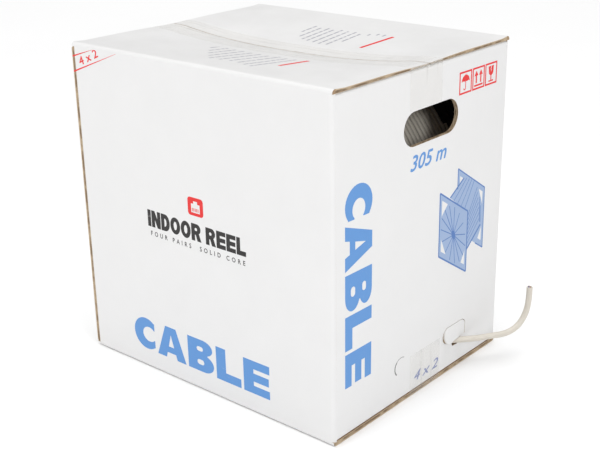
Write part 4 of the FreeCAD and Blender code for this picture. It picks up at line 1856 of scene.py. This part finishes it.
@dataclass
class SurfacePrint:
    """Everything printed on the carton and the painted shade of the slot's die cut, as thin films of ink that
    follow its faces.
    """

    form: CartonForm
    rack: FinishRack
    proud: float = 0.05
    sunk: float = 0.03

    def _print(
        self,
        name: str,
        place: Place,
        ink: Ink,
        figures: Figures,
        body: Body = Body.CARTON,
        step: float = 12.0,
        over: float = 0.0,
    ) -> None:
        """Makes a film of ink and seats it.

        Args:
            name: the piece's name.
            place: the face that it lies on.
            ink: its colour.
            figures: its figures on that face.
            body: the body that it rides on.
            step: the distance between the lines at which it bends with the face.
            over: how much prouder it stands, where it overprints another film.
        """
        every = np.array([p for loops in figures for loop in loops for p in loop])
        low, high = every.min(0), every.max(0)
        cut = Cut(
            figures, list(np.arange(low[0] + step, high[0], step)),
            list(np.arange(low[1] + step, high[1], step)),
        )
        seat(cut.solid(name, place, (-self.proud - over, self.sunk), [self.rack.inks[ink]]), body, Slot.BOARD)

    @staticmethod
    def _fit(
        made: tuple[float, Figures], at: Point2, length: float, height: float, turn: float = 0.0
    ) -> Figures:
        """Returns a word's figures, stretched to a length and height and laid down at a point.

        Args:
            made: the word's length and figures.
            at: where its foot begins.
            length: its new length.
            height: its new height.
            turn: its turn in degrees.

        Returns:
            The figures.
        """
        width, figures = made
        return [moved(loops, at, (length / width, height), turn) for loops in figures]

    def build(self) -> None:
        """Prints every face."""
        self._front()
        self._handling_marks()
        self._end_words()
        self._reel_drawing()
        self._slot_outline()
        self._top_notes()

    def _front(self) -> None:
        """Prints the front panel: the big word, the middle words with their tile, and the corner band."""
        front = self.form.long_side(-1)
        big = BlockLetters.word("CABLE")
        self._print("print_front_word", front, Ink.BLUE, self._fit(big, (-99.0, 20.5), 185.0, 34.5))
        block = self._fit(BlockLetters.word("INDOOR REEL", 0.08), (-66.5, 158.0), 129.0, 17.0)
        small = self._fit(plain_text("FOUR PAIRS  SOLID CORE", 1.9, 0.0, 0.02), (-63.0, 149.0), 124.0, 4.6)
        self._print("print_front_label", front, Ink.BLACK, block + small, step=8.0)
        tile = [[rounded(rectangle((-9.6, 182.8), (10.4, 200.6)), 3.2)] + self._plug_glyph((0.4, 191.4))]
        self._print("print_front_tile", front, Ink.RED, tile)
        slope = math.degrees(math.atan2(29.0, 66.5))
        lines = [
            [stroke([(-161.0, 311.2), (-130.5, 324.5 - 0.2)], 1.5)],
            [stroke([(-161.0, 296.2), (-97.0, 324.1)], 1.5)],
        ]
        words = self._fit(plain_text("4 x 2", 1.0, 0.0, 0.02), (-150.0, 303.2), 30.0, 8.0, slope)
        clipped = [[[(u, min(v, 320.9)) for u, v in loop] for loop in figure] for figure in lines + words]
        self._print("print_front_band", front, Ink.RED, clipped)

    @staticmethod
    def _plug_glyph(at: Point2) -> list[Loop]:
        """Returns a modular plug's outline and its contacts, as holes in a tile.

        Args:
            at: the plug's middle.

        Returns:
            The loops.
        """
        body = [
            (-5.6, -5.6), (5.6, -5.6), (5.6, 3.0), (2.6, 3.0), (2.6, 5.6), (-2.6, 5.6), (-2.6, 3.0),
            (-5.6, 3.0),
        ]
        pins = [rectangle((-4.4 + 1.85 * i, -4.4), (-3.5 + 1.85 * i, -1.2)) for i in range(5)]
        return moved([body, *pins], at)

    def _handling_marks(self) -> None:
        """Prints three framed handling marks: keep dry, this way up, fragile."""
        side, marks = 22.3, []
        low, high = 283.2, 304.5
        for number, sign in enumerate((self._umbrella, self._arrows, self._glass)):
            left = 49.2 + number * side
            right, middle = left + side - 1.2, (low + high) / 2
            border = [rectangle((left, low), (right, high))]
            border.append(rectangle((left + 1.7, low + 1.7), (right - 1.7, high - 1.7)))
            marks += [border, *[moved(loops, ((left + right) / 2, middle)) for loops in sign()]]
        self._print("print_handling_marks", self.form.end(1), Ink.RED, marks)

    @staticmethod
    def _umbrella() -> Figures:
        """Returns a keep-dry umbrella, about 18 mm high."""
        canopy = [
            (-6.8, 0.6),
            *[(6.8 * math.cos(t), 0.6 + 6.4 * math.sin(t)) for t in np.linspace(math.pi, 0, 16)][1:],
        ]
        scallops = [(4.5, 1.5), (2.3, 0.6), (0.0, 1.5), (-2.3, 0.6), (-4.5, 1.5)]
        handle = [
            (0.0, 1.5), (0.0, -5.0),
            *[(-1.5 + 1.5 * math.cos(t), -5.4 + 1.4 * math.sin(t)) for t in np.linspace(0, -math.pi, 8)],
        ]
        return [[canopy + scallops], [stroke(handle, 1.1)], [stroke([(0, 6.6), (0, 8.0)], 1.0)]]

    @staticmethod
    def _arrows() -> Figures:
        """Returns two upward arrows over a bar."""
        arrow = [(-1.1, -4.6), (1.1, -4.6), (1.1, 2.6), (3.3, 2.6), (0.0, 7.4), (-3.3, 2.6), (-1.1, 2.6)]
        return [moved([arrow], (-3.9, 0)), moved([arrow], (3.9, 0)), [rectangle((-7.4, -7.6), (7.4, -5.9))]]

    @staticmethod
    def _glass() -> Figures:
        """Returns a stemmed glass with a crack."""
        bowl = [
            (-4.6, 7.4), (-4.2, 2.4), *arc((0, 2.4), (4.2, 4.2), 180, 360, 10)[1:], (4.6, 7.4), (1.4, 7.4),
            (0.2, 4.6), (1.2, 3.4), (-0.6, 1.4), (0.0, 3.6), (-1.0, 4.8), (0.2, 7.4),
        ]
        return [[bowl], [rectangle((-0.8, -6.4), (0.8, -1.4))], [rectangle((-4.2, -7.6), (4.2, -6.2))]]

    def _end_words(self) -> None:
        """Prints the words of the right end panel."""
        right = self.form.end(1)
        big = BlockLetters.word("CABLE")
        self._print("print_end_word", right, Ink.BLUE, self._fit(big, (-119.6, 238.5), 187.0, 37.5, -90.0))
        length = self._fit(plain_text("305 m", 1.0, 0.28, 0.026), (-26.5, 229.0), 57.0, 14.0)
        self._print("print_length", right, Ink.BLUE, length, step=8.0)
        pairs = self._fit(plain_text("4 x 2", 1.0, 0.3, 0.02), (-12.6, 13.6), 41.0, 10.0)
        self._print("print_pairs", right, Ink.HAZE_BLUE, pairs, step=8.0)

    def _reel_drawing(self) -> None:
        """Prints the line drawing of the reel: two square plates and the wound drum between them."""
        right = self.form.end(1)
        origin, along, down = np.array((22.3, 195.8)), np.array((49.6, -31.6)), np.array((0.3, -63.6))
        back = np.array((29.8, 16.4))

        def at(a: float, b: float, plate: int = 0) -> Point2:
            """Returns a point of a plate, with a and b from 0 to 1 across it and down it."""
            return tuple(origin + a * along + b * down + plate * back)

        def plate_loops(plate: int) -> list[Loop]:
            """Returns a plate's outline and its four corner openings.

            Args:
                plate: 0 for the near plate, 1 for the far one.

            Returns:
                The loops.
            """
            holes = [[(0.07, 0.09), (0.27, 0.09), (0.07, 0.34)], [(0.93, 0.09), (0.93, 0.30), (0.78, 0.09)]]
            holes += [[(0.07, 0.90), (0.07, 0.70), (0.24, 0.90)], [(0.93, 0.90), (0.80, 0.90), (0.93, 0.66)]]
            return [[at(a, b, plate) for a, b in loop] for loop in ([(0, 0), (1, 0), (1, 1), (0, 1)], *holes)]

        drum = [
            (39.7, 186.6), (62.8, 200.4), (67.0, 201.5), (86.7, 189.7), (94.2, 171.9), (96.5, 143.1),
            (72.4, 124.1), (72.0, 163.0),
        ]
        self._print("print_reel_wash", right, Ink.PALE_BLUE, [plate_loops(0), plate_loops(1), [drum]])
        rim = [(0.0, 0.0), (1.0, 0.0), (1.0, 1.0), (0.0, 1.0), (0.0, 0.0)]
        shown = [(0.0, 0.32), (0.0, 0.0), (1.0, 0.0), (1.0, 1.0), (0.72, 1.0)]
        lines = [stroke([at(*p) for p in pair], 1.5) for pair in zip(rim, rim[1:])]
        lines += [stroke([at(*p, 1) for p in pair], 1.2) for pair in zip(shown, shown[1:])]
        for turn in np.radians(np.arange(8.0, 360.0, 24.0)):
            reach = 0.45 if round(math.degrees(turn)) % 48 else 0.36
            tip = (0.5 + reach * math.cos(turn), 0.52 + reach * math.sin(turn))
            lines.append(stroke([at(0.5, 0.52), at(*tip)], 0.85))
        lines.append(
            [
                at(0.5 + 0.07 * math.cos(t), 0.52 + 0.07 * math.sin(t))
                for t in np.linspace(0, 2 * math.pi, 14)[:-1]
            ]
        )
        lines += [stroke([(39.7, 186.6), (62.8, 200.4)], 1.6), stroke([(96.5, 143.1), (72.4, 124.1)], 1.8)]
        lines += [stroke([(93.4 + n, 173.0 - 6 * n), (94.4 + n, 146.0)], 0.8) for n in (0.0, 1.6)]
        for share in (0.12, 0.25, 0.38, 0.5, 0.62, 0.75, 0.88):
            foot, head = (72.0, 163.0 - 38 * share), (86.7 + 9.0 * share, 189.7 - 44 * share)
            lines.append(stroke([foot, head], 0.65))
        for share in (0.2, 0.4, 0.6, 0.8):
            foot = (39.7 + 32.3 * share, 186.6 - 23.6 * share)
            lines.append(stroke([foot, (62.8 + 24 * share, 200.9 - 9.5 * share)], 0.65))
        self._print("print_reel_lines", right, Ink.LINE_BLUE, [[loop] for loop in lines], over=0.05)

    def _slot_outline(self) -> None:
        """Paints the shade inside the die cut at the round end of the perforated strip that the tab was
        pushed out of, as a dark film.
        """
        bend = arc((-35.0, 39.3), (9.8, 9.2), 62, 226, 16)
        # Painted shade: a dark film along the slit where the cut board shows dark.
        self._print(
            "slot_end_cut", self.form.end(1), Ink.SHADE, [[stroke(bend[7:], 1.25)], [stroke(bend[:8], 0.5)]]
        )

    def _top_notes(self) -> None:
        """Prints the blocks of small grey lines and their red rules on both top flaps."""
        dice = np.random.default_rng(5)
        front = ((-55, -53, -42), (-44, -66, -41), (-33, -78, -42), (-22, -88, -42), (-11, -99, -43))
        front += ((0, -97, -41), (11, -95, -42), (22, -96, -40), (33, -100, -43), (43, -103, -42))
        rear = (
            (-35, 59, 82), (-26, 45, 80), (-17, 38, 81), (-9, 36, 80), (0, 34, 81), (9, 32, 79), (18, 33, 80)
        )
        rear += ((26, 48, 79), (36, 76, 80), (44, 80, 84), (52, 79, 84))
        rules = ([(57.4, -80.5), (55.2, -37.8)], [(57.4, 36.6), (63.8, 81.2)])
        for word, body, rows, rule in zip(
            ("front", "rear"), (Body.FRONT_FLAP, Body.REAR_FLAP), (front, rear), rules
        ):
            dashes = []
            for x, y, last in rows:
                while y < last:
                    long = float(dice.uniform(4.0, 10.5))
                    dashes.append([rectangle((x - 1.1, y), (x + 1.1, min(y + long, last + 1.0)))])
                    y += long + 1.6
            self._print(f"print_{word}_notes", self.form.top, Ink.GREY, dashes, body, 9.0)
            self._print(f"print_{word}_rule", self.form.top, Ink.RED, [[stroke(rule, 3.8)]], body, 9.0)


def rounded(loop: Loop, radius: float) -> Loop:
    """Returns a rectangle's loop with round corners.

    Args:
        loop: the rectangle's corners.
        radius: the corners' radius.

    Returns:
        The outline.
    """
    (x0, y0), (x1, y1) = loop[0], loop[2]
    centres = (
        (x1 - radius, y0 + radius, -90), (x1 - radius, y1 - radius, 0), (x0 + radius, y1 - radius, 90),
        (x0 + radius, y0 + radius, 180),
    )
    return [p for x, y, turn in centres for p in arc((x, y), (radius, radius), turn, turn + 90, 6)]


# --------------------------------------------------------------------------------------------------
# The reel and its cable
# --------------------------------------------------------------------------------------------------


def tube(name: str, path: np.ndarray, radius: float, sides: int, finishes: Sequence[Material]) -> Piece:
    """Makes a closed round tube along a path.

    Args:
        name: the piece's name.
        path: the centre line.
        radius: the tube's radius.
        sides: the number of sides.
        finishes: the tube's finish, and its ends' if there is a second.

    Returns:
        The piece.
    """
    along = np.gradient(path, axis=0)
    along /= np.linalg.norm(along, axis=1)[:, None]
    first = np.cross(along, (0.0, 1.0, 0.0) if abs(along[0][1]) < 0.9 else (1.0, 0.0, 0.0))
    first /= np.linalg.norm(first, axis=1)[:, None]
    second = np.cross(along, first)
    turns = np.linspace(0, 2 * math.pi, sides, endpoint=False)
    rings = path[:, None] + radius * (
        np.cos(turns)[None, :, None] * first[:, None] + np.sin(turns)[None, :, None] * second[:, None]
    )
    last = len(path) - 1
    polygons = [
        (i * sides + j, i * sides + (j + 1) % sides, (i + 1) * sides + (j + 1) % sides, (i + 1) * sides + j)
        for i in range(last)
        for j in range(sides)
    ]
    kinds = [0] * len(polygons) + [1, 1]
    polygons += [tuple(range(sides)), tuple(last * sides + j for j in range(sides))]
    return make_mesh(name, rings.reshape(-1, 3), polygons, finishes, kinds)


def turned(
    name: str, profile: Sequence[Point2], axis_z: float, steps: int, finishes: Sequence[Material]
) -> Piece:
    """Makes a ring by turning a closed profile of (radius, y) points about the reel's axis.

    Args:
        name: the piece's name.
        profile: the closed profile.
        axis_z: the axis's height.
        steps: the number of steps round.
        finishes: the materials.

    Returns:
        The piece.
    """
    shape = np.array(profile, float)
    count, points = len(shape), []
    for turn in np.linspace(0, 2 * math.pi, steps, endpoint=False):
        c, s = math.cos(turn), math.sin(turn)
        points.append(np.stack([shape[:, 0] * c, shape[:, 1], axis_z + shape[:, 0] * s], axis=1))
    polygons = [
        (
            i * count + j, i * count + (j + 1) % count, (i + 1) % steps * count + (j + 1) % count,
            (i + 1) % steps * count + j,
        )
        for i in range(steps)
        for j in range(count)
    ]
    return make_mesh(name, np.concatenate(points), polygons, finishes, [0] * len(polygons))


@dataclass
class Reel:
    """The reel: CAD plates, plugs, flanges and core in their finishes, and the wound cable."""

    rack: FinishRack
    axis_z: float = 159.0
    outer: float = 145.0
    core: float = 50.0
    half: float = 98.0
    cable: float = 6.2
    turns: int = 31

    def build(self) -> None:
        """Dresses the CAD nodes and winds the cable."""
        plates = (
            "end_plate_front", "end_plate_rear", "hub_plug_front", "hub_plug_rear", "drum_flange_front",
            "drum_flange_rear",
        )
        for node in plates:
            dress(node, self.rack.plate)
        dress("drum_core", self.rack.tube)
        self._outer_layer()
        self._under_layers()

    def _outer_layer(self) -> None:
        """Winds the outermost layer as one helix whose turns lie a little unevenly."""
        radius = self.cable / 2
        count = self.turns * 84
        turn = np.linspace(0, self.turns, count + 1)
        angle = 2 * math.pi * turn + 0.6
        y = -self.half + radius + 0.35 + turn * (2 * self.half - self.cable - 0.7) / self.turns
        y = y + 0.16 * np.sin(turn * 2.1) * np.sin(turn * 0.1 * math.pi)
        reach = self.outer - radius - 0.35 + 0.3 * np.sin(angle * 0.37 + 1.0) * np.sin(turn * 1.7)
        path = np.stack([reach * np.cos(angle), y, self.axis_z + reach * np.sin(angle)], axis=1)
        piece = tube("winding_outer_layer", path, radius - 0.2, 12, [self.rack.jacket])
        # The groove value marks how deep each point lies between the turns; the jacket paints shade there.
        spots = np.array([tuple(v.co) for v in piece.data.vertices]) / MM
        far = np.hypot(spots[:, 0], spots[:, 2] - self.axis_z)
        store(piece, "groove", np.clip((self.outer - far) / self.cable * 1.6, 0, 1))
        seat(piece, Body.DRUM, Slot.JACKET, "cable_winding")

    def _under_layers(self) -> None:
        """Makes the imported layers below, a ring whose surface is ribbed by their turns."""
        deep, profile = self.outer - self.cable * 0.96, []
        for rib in range(self.turns):
            for share in (0.06, 0.28, 0.5, 0.72, 0.94):
                y = -self.half + 0.3 + (rib + share) * (2 * self.half - 0.6) / self.turns
                profile.append((deep - 2.2 + 2.2 * math.sin(math.pi * share), y))
        profile += [(self.core + 0.3, self.half - 0.3), (self.core + 0.3, -self.half + 0.3)]
        seat(
            turned("winding_under_layers", profile, self.axis_z, 120, [self.rack.jacket]), Body.DRUM,
            Slot.JACKET, "cable_winding",
        )


def dress(node: str, finish: Material) -> None:
    """Gives a CAD node its finish.

    Args:
        node: the node's name.
        finish: the finish.
    """
    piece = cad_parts[node]
    if not piece.material_slots:
        piece.data.materials.append(finish)
    for held in piece.material_slots:
        held.material = finish
    log.info("%s: CAD node in %s", node, finish.name)


@dataclass
class CableRun:
    """The cable from the winding to the notch, and its free tail outside."""

    rack: FinishRack
    diameter: float = 6.2
    exit: Point3 = (161.5, 62.0, 29.0)
    lead: tuple[Point3, ...] = (
        (19, 20.5, 11.8), (60, 23.2, 16.5), (104.3, 28.5, 22), (131.1, 36.7, 26), (149.5, 48, 29)
    )
    tail: tuple[Point3, ...] = (
        (173.5, 76, 28.4),
        (184.5, 89, 30.0),
        (193.5, 102, 30.0),
        (199, 115, 34),
        (201.5, 125.5, 43.5),
        (202.5, 131, 58),
        (202.3, 130.8, 74),
    )
    tail_length: float = 112.9

    def _spline(self, name: str, route: Sequence[Point3]) -> Piece:
        """Makes a smooth round cable whose control points are the route.

        Args:
            name: the piece's name.
            route: the control points.

        Returns:
            The piece.
        """
        curve = bpy.data.curves.new(name, "CURVE")
        curve.dimensions, curve.resolution_u = "3D", 24
        curve.bevel_depth, curve.bevel_resolution, curve.use_fill_caps = self.diameter / 2 * MM, 7, True
        line = curve.splines.new("NURBS")
        line.points.add(len(route) - 1)
        for held, point in zip(line.points, route):
            held.co = (*(c * MM for c in point), 1.0)
        line.order_u, line.use_endpoint_u = 3, True
        curve.materials.append(self.rack.jacket)
        piece = bpy.data.objects.new(name, curve)
        bpy.context.scene.collection.objects.link(piece)
        return piece

    def build(self) -> None:
        """Builds and seats the lead, the tail and its cut end."""
        lead = self._spline("lead_cable", (*self.lead, self.exit))
        seat(lead, Body.CARTON, Slot.JACKET, "cable_lead")
        tail = self._spline("tail_cable", (self.exit, *self.tail))
        seat(tail, Body.CARTON, Slot.JACKET, "cable_tail")
        cores = self._cut_end()

    def _cut_end(self) -> list[Piece]:
        """Makes the eight wires that show at the cut end, two by two, each with its copper."""
        tip, before = np.array(self.tail[-1], float), np.array(self.tail[-2], float)
        up = (tip - before) / np.linalg.norm(tip - before)
        side = np.cross(up, (0.0, 1.0, 0.0))
        side /= np.linalg.norm(side)
        over = np.cross(up, side)
        made = []
        white = self.rack.wires[-1]
        for pair in range(4):
            turn = math.radians(45 + 90 * pair)
            middle = tip + 1.35 * (math.cos(turn) * side + math.sin(turn) * over)
            for half in (-1, 1):
                spread = math.radians(20 + 70 * pair)
                centre = middle + half * 0.5 * (math.cos(spread) * side + math.sin(spread) * over)
                rise = 0.5 + 0.25 * ((pair * 2 + half) % 3)
                path = np.array([centre - 2.0 * up, centre + rise * 0.5 * up, centre + rise * up])
                finish = self.rack.wires[pair] if half < 0 else white
                wire = tube(f"wire_{pair}_{'a' if half < 0 else 'b'}", path, 0.46, 12, [finish])
                copper = np.array([centre - 1.5 * up, centre + rise * up, centre + (rise + 0.12) * up])
                strand = tube(
                    f"strand_{pair}_{'a' if half < 0 else 'b'}", copper, 0.26, 10, [self.rack.copper]
                )
                made += [seat(wire, Body.CARTON, None), seat(strand, Body.CARTON, None)]
        return made


# --------------------------------------------------------------------------------------------------
# The studio
# --------------------------------------------------------------------------------------------------


@dataclass
class Studio:
    """The camera, the soft lights and the pale floor."""

    eye: Point3 = (690.57, -789.96, 531.82)
    azimuth: float = 40.7876
    elevation: float = 20.8057
    roll: float = -0.9736
    lens: float = 65.80
    surround: float = 0.37
    overhead: float = 2.15
    overhead_angle: float = 60.0
    floor_reach: float = 9000.0
    floor_drop: float = 0.25
    floor_thick: float = 20.0
    front_light: Lamp = ((-700.0, -1700.0, 700.0), (0.0, 0.0, 160.0), 1300.0, 8.3)
    end_light: Lamp = ((1450.0, -520.0, 860.0), (161.0, 0.0, 230.0), 420.0, 6.6)

    def build(self) -> None:
        """Builds the studio."""
        self._camera()
        self._floor()
        self._lights()
        bpy.context.scene.view_settings.view_transform = "Standard"

    def _camera(self) -> None:
        """Places the camera."""
        a, e, r = (math.radians(angle) for angle in (self.azimuth, self.elevation, self.roll))
        ahead = Vector((-math.sin(a) * math.cos(e), math.cos(a) * math.cos(e), -math.sin(e)))
        right = Vector((math.cos(a), math.sin(a), 0.0))
        up = right.cross(ahead)
        across = math.cos(r) * right + math.sin(r) * up
        upward = -math.sin(r) * right + math.cos(r) * up
        lens = bpy.data.cameras.new("camera")
        lens.lens, lens.sensor_width, lens.clip_start, lens.clip_end = self.lens, 36.0, 0.05, 50.0
        camera = bpy.data.objects.new("camera", lens)
        axes = Matrix((across, upward, -ahead)).transposed().to_4x4()
        camera.matrix_world = Matrix.Translation(Vector(self.eye) * MM) @ axes
        bpy.context.scene.collection.objects.link(camera)
        bpy.context.scene.camera = camera

    def _floor(self) -> None:
        """Lays the pale floor."""
        finish = Finish("pale_floor")
        bench = finish.bench
        tone = bench.blend(bench.noise(400.0, detail=2.0), (0.93, 0.93, 0.93), (0.955, 0.955, 0.955))
        finish.set(Base_Color=tone, Roughness=0.75)
        finish.relief(bench.noise(6.0, detail=2.0), 0.02)
        rim = arc((0.0, 0.0), (self.floor_reach, self.floor_reach), 0, 352.5, 47)
        floor = Cut([[rim]]).solid("floor", self._level, (0.0, self.floor_thick), [finish.material])

    def _level(self, x: np.ndarray, y: np.ndarray, depth: np.ndarray) -> np.ndarray:
        """Returns points of the floor, a hair below the carton."""
        return np.stack([x, y, -self.floor_drop - depth], axis=1)

    def _light(self, name: str, at: Point3, aim: Point3, size: float, power: float) -> None:
        """Hangs a square soft light.

        Args:
            name: its name.
            at: where it hangs, in millimetres.
            aim: the point that it faces.
            size: its side.
            power: its power in watts.
        """
        data = bpy.data.lights.new(name, "AREA")
        data.shape, data.size, data.energy = "SQUARE", size * MM, power
        lamp = bpy.data.objects.new(name, data)
        lamp.location = Vector(at) * MM
        lamp.rotation_mode = "QUATERNION"
        lamp.rotation_quaternion = (Vector(aim) - Vector(at)).to_track_quat("-Z", "Y")
        bpy.context.scene.collection.objects.link(lamp)

    def _lights(self) -> None:
        """Hangs the lights and sets the surround."""
        world = bpy.data.worlds.new("surround")
        bpy.context.scene.world = world
        world.use_nodes = True
        background = world.node_tree.nodes["Background"]
        background.inputs["Color"].default_value = (1.0, 1.0, 1.0, 1.0)
        background.inputs["Strength"].default_value = self.surround
        self._light("front_light", *self.front_light)
        self._light("end_light", *self.end_light)
        sky = bpy.data.lights.new("overhead_light", "SUN")
        sky.energy, sky.angle = self.overhead, math.radians(self.overhead_angle)
        lamp = bpy.data.objects.new("overhead_light", sky)
        lamp.location = (0.0, 0.0, 2.0)
        bpy.context.scene.collection.objects.link(lamp)


def main() -> None:
    """Builds the whole object."""
    logging.basicConfig(level=logging.INFO, format="%(message)s")
    Studio().build()
    form, rack = CartonForm(), FinishRack()
    CableRun(rack).build()
    walls = CartonWalls(form, rack)
    folded = (walls, FlapSet(form, rack), ExitTab(form, rack, walls), PackingTape(form, rack))
    for assembly in (*folded, SurfacePrint(form, rack), Reel(rack)):
        assembly.build()
        log.info("%s built", type(assembly).__name__)


if __name__ == "__main__":
    main()
